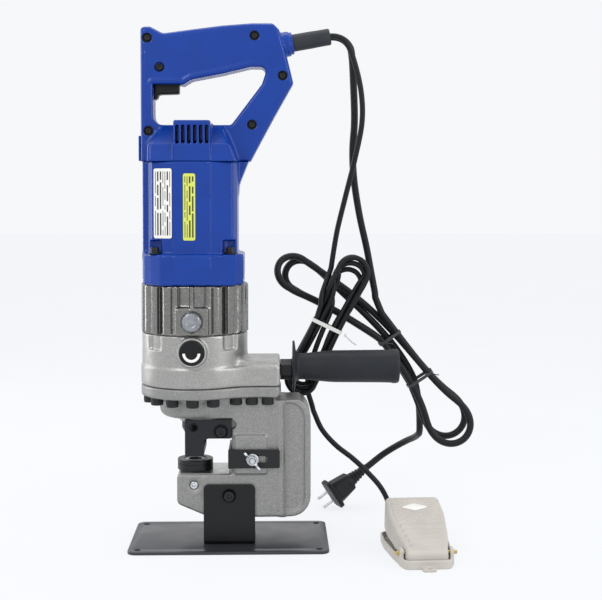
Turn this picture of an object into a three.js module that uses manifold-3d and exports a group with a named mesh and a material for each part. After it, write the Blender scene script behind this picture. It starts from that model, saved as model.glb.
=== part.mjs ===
// A portable electro-hydraulic hole punch on its bench stand, with a foot switch.
// Units are millimetres, +Z is up, and the origin is the middle of the base plate's underside.
// The tool's working side faces -Y, and its side handle and cords are on the +X side.
import * as THREE from "three";
import { mergeVertices } from "three/addons/utils/BufferGeometryUtils.js";
import Module from "manifold-3d";

const wasm = await Module();
wasm.setup();

// ---------------------------------------------------------------- driving dimensions
const GAP = 0.3; // left between touching pieces
const AXIS_X = -36; // the upright axis that motor, ram, punch and die share
const BORE_SIDES = 24; // facets of the round bores and of what runs in them

const PLATE = { width: 203, depth: 120, thick: 3, corner: 9, holeX: 91.5, holeY: 50, holeR: 3.25 };
const BRACKET = { left: -26, right: 26.5, top: 64.3, thick: 3, corner: 5, foot: 40, screwZ: 52.8 };

const FRAME = { half: 28.5, left: -53.4, jawTop: 74.5, bottom: 29.6, throatX: 2.8, stepX: 57, right: 83, webHalf: 24 };
const PAD = { left: 5.8, right: 38.5, low: 74.8, high: 114.7, proud: 3 };
const BOSS = { radius: 36.6, bottom: 131 };
const FLANGE = { bottom: 154, joint: 165, top: 185.5, radius: 55.5, neckX: 52, neckHalf: 35 };
const BOLT = { circle: 47, headR: 6.5, headHigh: 8, rowY: 28 };
const BODY = { radius: 54.4, top: 218.5 }; // cast cylinder body
const KNOB = { z: 202.5, ringR: 14.9, r: 12.5 };
const PUMP = { radius: 55.2, top: 268.5, innerRadius: 46, plugZ: 233 };
const MOTOR = { flangeHalf: 51.3, flangeTop: 300, half: 45, top: 393, spineX: -88.5, spineHalf: 15 };
const HANDLE_HALF = 17.5; // half the thickness of the D handle

const RAM = { pistonR: 33.7, rodR: 16, pistonLow: 178, pistonHigh: 194, rodLow: 126 };
const PUNCH = { radius: 6.5, tip: 94, headR: 9.6, nutR: 13.8, nutLow: 113 };
const DIE = { top: 85.8, holderR: 18.4, radius: 11, stemR: 12, stemLow: 55, screwZ: 63 };
const SPRING = { low: 139.5, high: 177.5, radius: 22, wire: 4, turns: 4 };
const STRIPPER = { left: -45.2, legRight: -25.7, low: 92.4, footHigh: 98.4, barLow: 110.6, half: 27.5, thick: 4 };
const SIDE = { z: 181, start: 52.3, flangeX: 64.9, end: 176, gripR: 16.6, flangeR: 27 };
const GAUGE = { low: 81.5, high: 100.6, right: 51.7, thick: 3, studX: 24, studZ: 90.6, slotR: 3.5, travel: 12 };

const BOOT = { x: 61.4, z: 514.8, radius: 8.85, long: 43.3, lean: 10 };
const MAINS_D = 7.5; // diameter of the mains lead
const FOOT_D = 5.7; // diameter of the foot switch's lead
const FOOT = { x: 194, y: -111, turn: 3, long: 105, halves: [20, 26.5, 30, 29], low: 17, high: 47 };

// ---------------------------------------------------------------- materials
const paint = (color, roughness, metalness) => new THREE.MeshStandardMaterial({ color, roughness, metalness });
const BLUE = paint(0x1f449f, 0.32, 0);
const CAST = paint(0xa3a4a2, 0.5, 0.75);
const ALLOY = paint(0x9b9a97, 0.35, 0.85);
const BLACK_STEEL = paint(0x1d1e21, 0.42, 0.5);
const ZINC = paint(0xc9ccd0, 0.25, 1);
const STEEL = paint(0x8e9196, 0.3, 1);
const BLACK_PLASTIC = paint(0x1c1d1f, 0.5, 0);
const GRIP = paint(0x34373d, 0.55, 0);
const RUBBER = paint(0x2a2c2f, 0.7, 0);
const PEDAL = paint(0xc9c5bf, 0.55, 0);
const BRASS = paint(0xb7a24a, 0.35, 0.9);
const COPPER = paint(0xb36a3c, 0.4, 0.9);
const CARBON = paint(0x2c2c2e, 0.8, 0);

// ---------------------------------------------------------------- solids
// A closed geometry as a solid that can be joined and cut.
function solid(geometry) {
  const bare = new THREE.BufferGeometry();
  bare.setAttribute("position", geometry.getAttribute("position"));
  if (geometry.index) bare.setIndex(geometry.index);
  const merged = mergeVertices(bare, 1e-4);
  return new wasm.Manifold(
    new wasm.Mesh({
      numProp: 3,
      vertProperties: new Float32Array(merged.attributes.position.array),
      triVerts: new Uint32Array(merged.index.array),
    }),
  );
}
const join = (first, ...others) => others.reduce((a, b) => a.add(b), first);
const cut = (first, ...others) => others.reduce((a, b) => a.subtract(b), first);

// A solid as a three.js geometry with flat faces.
function geometryOf(made) {
  const mesh = made.getMesh();
  const count = mesh.numProp;
  const position = new Float32Array(mesh.numVert * 3);
  for (let i = 0; i < mesh.numVert; i++) {
    position.set(mesh.vertProperties.subarray(i * count, i * count + 3), i * 3);
  }
  const geometry = new THREE.BufferGeometry();
  geometry.setAttribute("position", new THREE.BufferAttribute(position, 3));
  geometry.setIndex(new THREE.BufferAttribute(new Uint32Array(mesh.triVerts), 1));
  const flat = geometry.toNonIndexed();
  flat.computeVertexNormals();
  return flat;
}

// A box between two corners.
function box(x0, x1, y0, y1, z0, z1) {
  const made = new THREE.BoxGeometry(x1 - x0, y1 - y0, z1 - z0);
  return solid(made.translate((x0 + x1) / 2, (y0 + y1) / 2, (z0 + z1) / 2));
}

// An outline in X and Y, extruded from z0 to z1.
function upright(shape, z0, z1, curveSegments = 5) {
  const made = new THREE.ExtrudeGeometry(shape, { depth: z1 - z0, bevelEnabled: false, curveSegments });
  return solid(made.translate(0, 0, z0));
}

// An outline in X and Z, extruded from y0 to y1.
function slab(shape, y0, y1, curveSegments = 5) {
  const made = new THREE.ExtrudeGeometry(shape, { depth: y1 - y0, bevelEnabled: false, curveSegments });
  return solid(made.rotateX(Math.PI / 2).translate(0, y1, 0));
}

// A profile of [radius, height] points turned about the Z axis.
function turned(profile, sides = 20) {
  const points = profile.map(([r, z]) => new THREE.Vector2(r, z));
  return solid(new THREE.LatheGeometry(points, sides).rotateX(Math.PI / 2));
}

const disc = (radius, z0, z1, sides = 16) =>
  turned([[0, z0], [radius, z0], [radius, z1], [0, z1]], sides);
const ring = (outer, inner, z0, z1, sides = 16) =>
  turned([[inner, z0], [outer, z0], [outer, z1], [inner, z1], [inner, z0]], sides);

// A solid made about the Z axis, laid along X or Y, or leaned in the XZ plane, and moved to a place.
const alongX = (made, x, y, z) => made.rotate([0, 90, 0]).translate([x, y, z]);
const alongY = (made, x, y, z) => made.rotate([-90, 0, 0]).translate([x, y, z]);
const onAxis = (made) => made.translate([AXIS_X, 0, 0]);

// An outline through points, each [x, y] or [x, y, corner radius].
function outline(points) {
  const shape = new THREE.Shape();
  const n = points.length;
  points.forEach(([x, y, r = 0], i) => {
    const here = new THREE.Vector2(x, y);
    const before = new THREE.Vector2(...points[(i + n - 1) % n].slice(0, 2)).sub(here).normalize();
    const after = new THREE.Vector2(...points[(i + 1) % n].slice(0, 2)).sub(here).normalize();
    const start = here.clone().addScaledVector(before, r);
    const end = here.clone().addScaledVector(after, r);
    if (i === 0) shape.moveTo(start.x, start.y);
    else shape.lineTo(start.x, start.y);
    if (r > 0) shape.quadraticCurveTo(here.x, here.y, end.x, end.y);
  });
  shape.closePath();
  return shape;
}

const rectangle = (x0, x1, y0, y1, r = 0) =>
  outline([[x0, y0, r], [x1, y0, r], [x1, y1, r], [x0, y1, r]]);

function circle(x, y, r) {
  const shape = new THREE.Shape();
  shape.absarc(x, y, r, 0, 2 * Math.PI, false);
  return shape;
}

// A body through closed loops of 3-D points, all with the same number of points.
function loft(loops) {
  const count = loops[0].length;
  const position = loops.flat(2);
  const index = [];
  for (let k = 0; k + 1 < loops.length; k++) {
    for (let i = 0; i < count; i++) {
      const a = k * count + i;
      const b = k * count + ((i + 1) % count);
      index.push(a, b, b + count, a, b + count, a + count);
    }
  }
  const last = (loops.length - 1) * count;
  for (let i = 1; i + 1 < count; i++) {
    index.push(0, i + 1, i, last, last + i, last + i + 1);
  }
  const made = new THREE.BufferGeometry();
  made.setAttribute("position", new THREE.Float32BufferAttribute(position, 3));
  made.setIndex(index);
  return solid(made);
}

// A rectangle as a loop at height z, counter-clockwise from above, with its corners cut off.
function cutRectangle(x0, x1, y0, y1, cutOff, z) {
  const c = cutOff;
  return [
    [x0 + c, y0, z], [x1 - c, y0, z], [x1, y0 + c, z], [x1, y1 - c, z],
    [x1 - c, y1, z], [x0 + c, y1, z], [x0, y1 - c, z], [x0, y0 + c, z],
  ];
}

// A round tube along a smooth curve through points.
function tube(points, diameter, sides = 8, steps = 60) {
  const section = new THREE.Shape();
  for (let i = 0; i < sides; i++) {
    const a = (2 * Math.PI * i) / sides;
    const [x, y] = [(diameter / 2) * Math.cos(a), (diameter / 2) * Math.sin(a)];
    if (i === 0) section.moveTo(x, y);
    else section.lineTo(x, y);
  }
  section.closePath();
  const path = new THREE.CatmullRomCurve3(points.map((p) => new THREE.Vector3(...p)), false, "centripetal");
  return solid(new THREE.ExtrudeGeometry(section, { steps, bevelEnabled: false, extrudePath: path }));
}

// A gear outline with straight-sided teeth.
function gearOutline(teeth, module) {
  const shape = new THREE.Shape();
  const [tip, root] = [(teeth / 2 + 0.85) * module, (teeth / 2 - 1.2) * module];
  const pitch = (2 * Math.PI) / teeth;
  for (let i = 0; i < teeth; i++) {
    [[-0.3, root], [-0.12, tip], [0.12, tip], [0.3, root]].forEach(([share, r], k) => {
      const a = (i + share) * pitch;
      if (i + k === 0) shape.moveTo(r * Math.cos(a), r * Math.sin(a));
      else shape.lineTo(r * Math.cos(a), r * Math.sin(a));
    });
  }
  shape.closePath();
  return shape;
}

// A socket head screw standing on z = 0 with its head up and its shank below.
function socketScrew(headR, headHigh, shankR, shankLong, sides = 12) {
  const socket = disc(headR * 0.55, headHigh * 0.45, headHigh + 1, 6);
  const made = turned(
    [
      [0, -shankLong], [shankR, -shankLong], [shankR, 0], [headR, 0],
      [headR, headHigh - 0.5], [headR - 0.5, headHigh], [0, headHigh],
    ],
    sides,
  );
  return cut(made, socket);
}

const tool = new THREE.Group();
tool.name = "electro_hydraulic_punch";
function add(name, made, material) {
  const mesh = new THREE.Mesh(geometryOf(made), material);
  mesh.name = name;
  tool.add(mesh);
}

// ---------------------------------------------------------------- bench stand
function addStand() {
  const { width, depth, thick, corner, holeX, holeY, holeR } = PLATE;
  const shape = rectangle(-width / 2, width / 2, -depth / 2, depth / 2, corner);
  for (const x of [-holeX, holeX]) {
    for (const y of [-holeY, holeY]) shape.holes.push(circle(x, y, holeR));
  }
  add("base_plate", upright(shape, 0, thick), BLACK_STEEL);

  // An L of bent plate: a tall leg against the frame's front, and a foot that runs back under the frame.
  const { left, right, top, corner: round, foot, screwZ } = BRACKET;
  const back = -FRAME.half - GAP;
  const front = back - BRACKET.thick;
  const low = thick + GAP;
  const leg = slab(
    outline([[left, low], [right, low], [right, top, round], [left, top, round]]),
    front,
    back,
  );
  const sole = box(left, right, front, front + foot, low, low + BRACKET.thick);
  const hole = alongY(disc(3.3, -10, 10, 20), 0, back, screwZ);
  add("stand_bracket", cut(join(leg, sole), hole), BLACK_STEEL);

  const screw = socketScrew(5.2, 4, 3, 14).rotate([90, 0, 0]);
  add("stand_screw", screw.translate([0, front - GAP, screwZ]), BLACK_STEEL);
}

// ---------------------------------------------------------------- C-frame and its tooling
// The plan of the bolted joint: a round head round the ram, and a neck that reaches the side handle.
function jointPlan() {
  const { radius, neckX, neckHalf } = FLANGE;
  const start = Math.asin(neckHalf / radius);
  const shape = new THREE.Shape();
  shape.absarc(AXIS_X, 0, radius, start, 2 * Math.PI - start, false);
  shape.lineTo(neckX, -neckHalf);
  shape.lineTo(neckX, neckHalf);
  shape.closePath();
  return shape;
}

// The heads of the joint's screws, hung under the flange: five a side round the ram, and three a side on the neck.
function jointScrewHeads() {
  const head = disc(BOLT.headR, FLANGE.bottom - BOLT.headHigh, FLANGE.bottom + 0.5, 8);
  const places = [];
  for (const side of [-1, 1]) {
    for (const angle of [-26, 0, 26, 52, 78]) {
      const a = (angle * Math.PI) / 180;
      places.push([AXIS_X - BOLT.circle * Math.sin(a), side * BOLT.circle * Math.cos(a)]);
    }
    for (const x of [7, 23.2, 39.4]) places.push([x, side * BOLT.rowY]);
  }
  return places.map(([x, y]) => head.translate([x, y, 0]));
}

function addFrame() {
  const f = FRAME;
  const web = slab(
    outline([
      [f.left, 43.8, 5], [-25.7, 31.8, 5], [-14, f.bottom, 4], [f.stepX, f.bottom],
      [f.stepX, FLANGE.bottom + 1], [AXIS_X, FLANGE.bottom + 1], [AXIS_X, BOSS.bottom],
      [f.throatX, BOSS.bottom], [f.throatX, f.jawTop, 3], [f.left, f.jawTop, 3],
    ]),
    -f.half,
    f.half,
    4,
  );
  const back = slab(
    outline([
      [f.stepX - 1, f.bottom], [f.right, f.bottom, 20], [f.right, FLANGE.bottom - 1, 22],
      [f.stepX - 1, FLANGE.bottom - 1],
    ]),
    -f.webHalf,
    f.webHalf,
    6,
  );
  const boss = onAxis(
    turned([
      [0, BOSS.bottom], [BOSS.radius - 14, BOSS.bottom], [BOSS.radius - 5, BOSS.bottom + 4],
      [BOSS.radius - 1.5, BOSS.bottom + 9], [BOSS.radius, BOSS.bottom + 14],
      [BOSS.radius, FLANGE.bottom + 1], [0, FLANGE.bottom + 1],
    ]),
  );
  const lug = box(-16, f.throatX + 1, -23.2, 23.2, STRIPPER.barLow, BOSS.bottom + 1);
  const flange = upright(jointPlan(), FLANGE.bottom, FLANGE.joint - GAP / 2, 12);
  const pad = slab(rectangle(PAD.left, PAD.right, PAD.low, PAD.high, 3), -f.half - PAD.proud, -f.half + 1, 4);
  const rodBore = onAxis(disc(RAM.rodR + GAP, BOSS.bottom - 5, FLANGE.joint + 5));
  const springSeat = onAxis(disc(27, SPRING.low - GAP, FLANGE.joint + 5));
  const stemBore = onAxis(disc(DIE.stemR + GAP, DIE.stemLow - GAP, f.jawTop + 5, 16));
  const slugHole = onAxis(disc(8.5, f.bottom - 5, f.jawTop, 16));
  const setScrewHole = alongY(disc(4.3, -3, 17, 16), AXIS_X, -f.half, DIE.screwZ);
  const standHole = alongY(disc(3.3, -3, 13, 16), 0, -f.half, BRACKET.screwZ);
  const studHole = alongY(disc(3.2, -8, 14, 16), GAUGE.studX, -f.half, GAUGE.studZ);
  const stripperHole = alongY(disc(3.3, -30, 30, 16), -8.3, 0, 118);
  add(
    "c_frame",
    cut(
      join(web, back, boss, lug, flange, pad, ...jointScrewHeads()),
      rodBore, springSeat, stemBore, slugHole, setScrewHole, standHole, studHole, stripperHole,
    ),
    CAST,
  );
}

function addDieSet() {
  const low = FRAME.jawTop + GAP;
  const holder = turned(
    [
      [8.2, DIE.stemLow], [DIE.stemR, DIE.stemLow], [DIE.stemR, low], [DIE.holderR, low],
      [DIE.holderR - 0.5, DIE.top - 3.6], [DIE.holderR - 3.6, DIE.top], [DIE.radius + GAP, DIE.top],
      [DIE.radius + GAP, low + 1], [8.2, low + 1], [8.2, DIE.stemLow],
    ],
    20,
  );
  add("die_holder", onAxis(holder), BLACK_STEEL);
  const die = ring(DIE.radius, PUNCH.radius + 0.35, low + 1 + GAP, DIE.top - 0.6, 28);
  add("die", onAxis(die), STEEL);
  const setScrew = cut(disc(4, 0, 15, 20), disc(2.1, 11, 16, 6));
  add("die_set_screw", setScrew.rotate([90, 0, 0]).translate([AXIS_X, -13, DIE.screwZ]), ZINC);
}

// The stripper straddles the punch with two plates, and its foot holds the work down as the punch draws back.
function addStripper() {
  const s = STRIPPER;
  const top = BOSS.bottom - GAP;
  const shape = outline([
    [s.left, s.low], [s.legRight, s.low], [s.legRight, s.barLow, 4], [2.5, s.barLow], [2.5, top], [s.left, top],
  ]);
  const whole = slab(shape, -s.half, s.half, 4);
  const between = box(s.left - 5, 10, -s.half + s.thick, s.half - s.thick, s.footHigh, top + 5);
  const punchHole = onAxis(disc(PUNCH.radius + 0.7, s.low - 5, s.footHigh + 5, 16));
  const screwHole = alongY(disc(3.4, -30, 30, 16), -8.3, 0, 118);
  const sightHole = alongY(disc(4.3, -30, 30, 20), AXIS_X, 0, 122);
  add("stripper", cut(whole, between, punchHole, screwHole, sightHole), BLACK_STEEL);
  const screw = socketScrew(5, 3.6, 3, 28).rotate([90, 0, 0]);
  add("stripper_screw", screw.translate([-8.3, -s.half - GAP, 118]), BLACK_STEEL);
}

// The back gauge is an angle plate: its slot slides on the stud, and its lip stands in the throat.
function addGauge() {
  const g = GAUGE;
  const face = -FRAME.half - PAD.proud - GAP;
  const lipX = FRAME.throatX - GAP;
  const slotEnd = g.studX + g.travel;
  const slot = new THREE.Path();
  slot.absarc(g.studX - 4, g.studZ, g.slotR, Math.PI / 2, 1.5 * Math.PI, false);
  slot.absarc(slotEnd, g.studZ, g.slotR, -Math.PI / 2, Math.PI / 2, false);
  slot.closePath();
  const shape = rectangle(lipX - g.thick, g.right, g.low, g.high, 1);
  shape.holes.push(slot);
  const plate = slab(shape, face - g.thick, face, 6);
  const lip = box(lipX - g.thick, lipX, face - 1, 20, g.low, g.high);
  add("back_gauge", join(plate, lip), BLACK_STEEL);

  const stud = turned([[0, -14], [2.9, -14], [2.9, 15], [0, 15]], 16);
  add("gauge_stud", stud.rotate([90, 0, 0]).translate([g.studX, -FRAME.half, g.studZ]), ZINC);

  const hub = ring(5.3, 3.2, 0.5, 6.5, 12);
  const washer = ring(6.2, 3.2, 0, 1.2, 12);
  const wing = slab(outline([[3.6, 1.4], [8, 1.6, 1], [13, 8, 2], [11, 11.5, 2], [4.2, 6, 1]]), -1.1, 1.1, 2);
  const nut = join(hub, washer, wing, wing.rotate([0, 0, 180])).rotate([0, 0, -48]).rotate([90, 0, 0]);
  add("wing_nut", nut.translate([g.studX, face - g.thick - GAP, g.studZ]), ZINC);
}

// Ram, its seal and spring, and the punch.
function addRam() {
  const r = RAM;
  const grooveLow = 183;
  const nutTop = r.rodLow - GAP;
  const ram = turned(
    [
      [0, r.rodLow], [r.rodR, r.rodLow], [r.rodR, r.pistonLow], [r.pistonR, r.pistonLow],
      [r.pistonR, grooveLow], [r.pistonR - 3.2, grooveLow], [r.pistonR - 3.2, grooveLow + 5],
      [r.pistonR, grooveLow + 5], [r.pistonR, r.pistonHigh], [0, r.pistonHigh],
    ],
    BORE_SIDES,
  );
  add("ram", onAxis(ram), STEEL);
  const seal = ring(r.pistonR - 0.1, r.pistonR - 2.9, grooveLow + GAP, grooveLow + 5 - GAP, BORE_SIDES);
  add("piston_seal", onAxis(seal), RUBBER);
  const nut = turned(
    [
      [PUNCH.radius + GAP, PUNCH.nutLow], [PUNCH.nutR - 2.8, PUNCH.nutLow], [PUNCH.nutR, PUNCH.nutLow + 5],
      [PUNCH.nutR, nutTop], [PUNCH.headR + GAP, nutTop], [PUNCH.headR + GAP, PUNCH.nutLow + 4],
      [PUNCH.radius + GAP, PUNCH.nutLow + 4], [PUNCH.radius + GAP, PUNCH.nutLow],
    ],
    20,
  );
  add("punch_nut", onAxis(nut), BLACK_STEEL);
  const punch = turned(
    [
      [0, PUNCH.tip], [PUNCH.radius, PUNCH.tip], [PUNCH.radius, PUNCH.nutLow + 4 + GAP],
      [PUNCH.headR, PUNCH.nutLow + 4 + GAP], [PUNCH.headR, nutTop], [0, nutTop],
    ],
    20,
  );
  add("punch", onAxis(punch), STEEL);

  const points = [];
  const rise = SPRING.high - SPRING.low - SPRING.wire;
  for (let i = 0; i <= SPRING.turns * 8; i++) {
    const a = (2 * Math.PI * i) / 8;
    const z = SPRING.low + SPRING.wire / 2 + (rise * i) / (SPRING.turns * 8);
    points.push([AXIS_X + SPRING.radius * Math.cos(a), SPRING.radius * Math.sin(a), z]);
  }
  add("return_spring", tube(points, SPRING.wire, 5, SPRING.turns * 10), STEEL);
}

// ---------------------------------------------------------------- hydraulic unit
function addCylinderBody() {
  const flange = upright(jointPlan(), FLANGE.joint + GAP / 2, FLANGE.top, 12);
  const barrel = onAxis(disc(BODY.radius, FLANGE.top - 1, BODY.top - GAP / 2, 16));
  const handleBoss = slab(
    outline([[10, FLANGE.joint + 1], [52, FLANGE.joint + 1], [52, 191, 3], [10, 191]]),
    -30,
    30,
    4,
  );
  const knobRing = alongY(disc(KNOB.ringR, -4, 10, 28), AXIS_X, -BODY.radius, KNOB.z);
  const bore = onAxis(disc(RAM.pistonR + GAP, FLANGE.joint - 5, 199, BORE_SIDES));
  const handleThread = alongX(disc(6.3, 0, 20, 16), FLANGE.neckX - 18, 0, SIDE.z - 3);
  const blockSeat = onAxis(disc(PUMP.innerRadius + GAP, 212, BODY.top + 5, BORE_SIDES));
  add(
    "cylinder_body",
    cut(join(flange, barrel, handleBoss, knobRing), bore, handleThread, blockSeat),
    CAST,
  );

  // The release valve's knob, turned by hand to let the ram come back.
  const knob = turned([[0, 0], [KNOB.r, 0], [KNOB.r, 3.5], [KNOB.r - 1, 4.5], [0, 4.5]], 28);
  add("release_knob", knob.rotate([90, 0, 0]).translate([AXIS_X, -BODY.radius - 4 - GAP, KNOB.z]), BLACK_PLASTIC);
}

function addPumpHousing() {
  const low = BODY.top + GAP / 2;
  const high = PUMP.top - GAP / 2;
  let shell = onAxis(disc(PUMP.radius, low, high, 16));
  // Upright flutes round the outside; those under the oil plug's boss are filled by it.
  for (let i = 0; i < 12; i++) {
    const flute = box(PUMP.radius - 4, PUMP.radius + 5, -2.5, 2.5, low - 5, high + 5);
    shell = cut(shell, onAxis(flute.rotate([0, 0, (i + 0.5) * 30 - 90])));
  }
  const plugBoss = box(AXIS_X - 16.5, AXIS_X + 16.5, -57, -44, low, 247);
  const hollow = onAxis(disc(PUMP.innerRadius, 226, high + 5, 16));
  const floorHole = onAxis(disc(30, low - 5, 227, 16));
  const plugHole = alongY(disc(5.3, -3, 14, 16), AXIS_X, -57, PUMP.plugZ);
  add("pump_housing", cut(join(shell, plugBoss), hollow, floorHole, plugHole), ALLOY);

  const hex = disc(17 / Math.sqrt(3), 0, 6.5, 6);
  const plug = join(hex, disc(5, -9, 1, 16), disc(9.4, 0, 1.2, 16)).rotate([90, 0, 0]);
  add("oil_plug", plug.translate([AXIS_X, -57 - GAP, PUMP.plugZ]), ZINC);

  // The plate that carries the lower end of the eccentric shaft.
  const shaftHole = disc(4.4, 210, 225, 20).translate([GEAR_CENTRE, 0, 0]);
  add("pump_block", onAxis(cut(disc(PUMP.innerRadius, 212.3, 218, BORE_SIDES), shaftHole)), STEEL);
}

// ---------------------------------------------------------------- motor and reduction gear
const PINION_TEETH = 11;
const GEAR_TEETH = 33;
const GEAR_CENTRE = (PINION_TEETH + GEAR_TEETH) / 2; // at module 1

function addMotor() {
  const shaft = join(disc(5, 256, 423, 20), disc(4, 238, 257, 16));
  const core = ring(24, 4.5, 316, 366, 28);
  const commutator = ring(12, 4.5, 396, 411, 24);
  const windings = join(ring(20, 4.5, 308, 317, 20), ring(20, 4.5, 365, 374, 16));
  const pinion = upright(gearOutline(PINION_TEETH, 1), 240, 252, 4);
  add("armature", onAxis(join(shaft, core, commutator, windings, pinion)), COPPER);

  let fan = join(ring(14, 5.3, 285, 298, 24), ring(38, 5.3, 283.5, 285.5, 16));
  for (let i = 0; i < 8; i++) fan = join(fan, box(12, 38, -1, 1, 285, 297).rotate([0, 0, i * 45]));
  add("cooling_fan", onAxis(fan), BLACK_PLASTIC);

  add("stator", onAxis(ring(40, 25.2, 314, 368, 16)), STEEL);
  add("lower_bearing", onAxis(ring(16, 5.3, 269.5, 279, 16)), STEEL);
  add("upper_bearing", onAxis(ring(13, 5.3, 414.5, 423.5, 16)), STEEL);
  for (const [name, near] of [["carbon_brush_left", -30], ["carbon_brush_right", 12.4]]) {
    add(name, onAxis(box(near, near + 17.6, -4, 4, 399, 407)), CARBON);
  }

  const gear = upright(gearOutline(GEAR_TEETH, 1), 241, 250, 4);
  const shaft2 = join(disc(5, 219, 260, 10), disc(4, 212.6, 220, 10));
  const cam = disc(8, 226, 238, 12).translate([2, 0, 0]);
  add("eccentric_gear", join(gear, shaft2, cam).translate([AXIS_X + GEAR_CENTRE, 0, 0]), STEEL);
}

// ---------------------------------------------------------------- motor housing
const MOTOR_SCREWS = [[-1, -1], [1, -1], [-1, 1], [1, 1]].map(([sx, sy]) => [AXIS_X + sx * 38, sy * 38]);

function addMotorHousing() {
  const { flangeHalf, flangeTop, half, top, spineX, spineHalf } = MOTOR;
  const low = PUMP.top + GAP / 2;
  const plan = (d, r) => rectangle(AXIS_X - d, AXIS_X + d, -d, d, r);
  const barrel = upright(plan(half, 30), low, top, 6);
  const flange = upright(plan(flangeHalf, 24), low, flangeTop, 6);
  const panels = box(AXIS_X - 18.4, AXIS_X + 18.4, -half - 2, half + 2, 282, top);
  const spine = box(spineX, AXIS_X - half + 3, -spineHalf, spineHalf, flangeTop - 8, top);
  // A fin carries the line of the D handle's rear strut down to the barrel.
  const fin = slab(
    outline([[AXIS_X + 30, 352], [8.7, 359], [10, 369], [13, 376, 2], [21.5, top], [AXIS_X + 30, top]]),
    -HANDLE_HALF,
    HANDLE_HALF,
  );
  const hollow = upright(plan(half - 3, 27), 299, top + 5, 6);
  const fanBore = onAxis(disc(41, 281, 301, 16));
  const bearingSeat = onAxis(disc(16 + GAP, low - 1, 282, 16));
  const pockets = MOTOR_SCREWS.map(([x, y]) => disc(8, flangeTop, flangeTop + 12, 12).translate([x, y, 0]));
  add(
    "motor_housing",
    cut(join(barrel, flange, panels, spine, fin), hollow, fanBore, bearingSeat, ...pockets),
    BLUE,
  );
  MOTOR_SCREWS.forEach(([x, y], i) => {
    const screw = join(disc(4.25, 0, 5.5, 12), disc(6.4, -1.2, 0.1, 12));
    add(`motor_screw_${i + 1}`, screw.translate([x, y, flangeTop + 1.2 + GAP]), BLACK_STEEL);
  });
}

// ---------------------------------------------------------------- D handle
const HANDLE_OUTSIDE = [
  [-90, MOTOR.top + GAP], [-90, 529, 2], [-86, 530.8, 1], [-80, 530.8, 2], [-67, 524, 5], [-38, 528],
  [-7, 532], [23, 534.4], [45, 534.4, 4], [51.5, 528], [58.4, 505], [66, 473.4, 2], [47.6, 441],
  [34.6, 417], [22, MOTOR.top + GAP],
];
const HANDLE_OPENING = [
  [-77.5, 472.4], [-77.5, 430.4, 10], [2.5, 430.4, 5], [34, 472, 5], [40, 490, 6], [22, 490, 3],
  [-7, 483], [-38, 477], [-47, 471.5, 2], [-50, 472.4],
];
const HANDLE_SCREWS = [[-82.8, 519], [26.3, 521.5], [54.9, 481], [23.5, 431], [-81.7, 424.6]];
const LOCK = { x: -70.4, z: 489.5, r: 4.2 };
const TRIGGER = { left: -77, right: -51, low: 462.8, lip: 457, top: 486 };

// A piece made along the boot's own axis, which rises a little towards its free end.
const alongBoot = (made) => made.rotate([0, 90 - BOOT.lean, 0]).translate([BOOT.x, 0, BOOT.z]);

// The plastic half on one side of the middle plane: side -1 is the front half.
function handleHalf(side) {
  const span = (near, far) => (side < 0 ? [-far, -near] : [near, far]);
  const low = MOTOR.top + GAP;
  const half = MOTOR.half;
  const plate = slab(outline(HANDLE_OUTSIDE), ...span(GAP / 2, HANDLE_HALF), 4);
  // Shoulders that narrow from the motor housing to the handle.
  const shoulder = loft([
    cutRectangle(AXIS_X - half, AXIS_X + half, ...span(GAP / 2, half), 2, low),
    cutRectangle(AXIS_X - half, AXIS_X + half - 6, ...span(GAP / 2, half - 3), 2, 410),
    cutRectangle(AXIS_X - 30, AXIS_X + 30, ...span(GAP / 2, HANDLE_HALF), 2, 430),
  ]);
  const ventBlock = box(AXIS_X - 18.5, AXIS_X + 18.5, ...span(GAP / 2, half + 1), low, 434.3);
  const collar = alongBoot(disc(12.8, -8, 4.5, 16)).intersect(box(0, 90, ...span(GAP / 2, 30), 490, 540));
  let made = join(plate, shoulder, ventBlock, collar);
  made = cut(made, slab(outline(HANDLE_OPENING), -HANDLE_HALF - 1, HANDLE_HALF + 1, 4));
  for (let i = 0; i < 6; i++) {
    const x = AXIS_X + (i - 2.5) * 5.9;
    made = cut(made, box(x - 1.7, x + 1.7, ...span(30, 60), 411, 429.5));
  }
  // Room for the commutator, the bearing, the trigger and its switch, the wires and the boot.
  return cut(
    made,
    onAxis(disc(36, low - 5, 413, 16)),
    onAxis(disc(13 + GAP, 412, 424.3, 16)),
    box(TRIGGER.left - 0.4, TRIGGER.right + 0.4, -9, 9, 465, 500),
    box(-82, -36, -13, 13, 494, 518),
    box(-40, 40, -9, 9, 503, 520),
    alongBoot(disc(BOOT.radius + GAP, -25, 10, 16)),
  );
}

function addHandle() {
  let front = handleHalf(-1);
  for (const [x, z] of HANDLE_SCREWS) front = cut(front, alongY(disc(4.9, -1, 3, 10), x, -HANDLE_HALF, z));
  front = cut(front, alongY(disc(LOCK.r + 0.2, -1, 7, 16), LOCK.x, -HANDLE_HALF, LOCK.z));
  add("handle_shell_front", front, BLUE);
  add("handle_shell_rear", handleHalf(1), BLUE);

  const t = TRIGGER;
  const pull = slab(
    outline([
      [t.left, t.top], [t.left, t.lip], [t.left + 3, t.lip, 1], [t.left + 6, t.low, 2],
      [t.right, t.low, 1.5], [t.right, t.top],
    ]),
    -8.6,
    8.6,
    4,
  );
  add("trigger", pull, BLACK_PLASTIC);
  add("trigger_switch", box(-76, -40, -12.5, 12.5, 494.5, 517.5), BLACK_PLASTIC);
  const button = disc(LOCK.r - 0.2, 0, 5, 20).rotate([90, 0, 0]);
  add("lock_button", button.translate([LOCK.x, -HANDLE_HALF + 3.6, LOCK.z]), BLACK_PLASTIC);
  add("brush_cover", box(-92.6, -90.3, -11, 11, 394, 420), BLUE);
}

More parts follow.
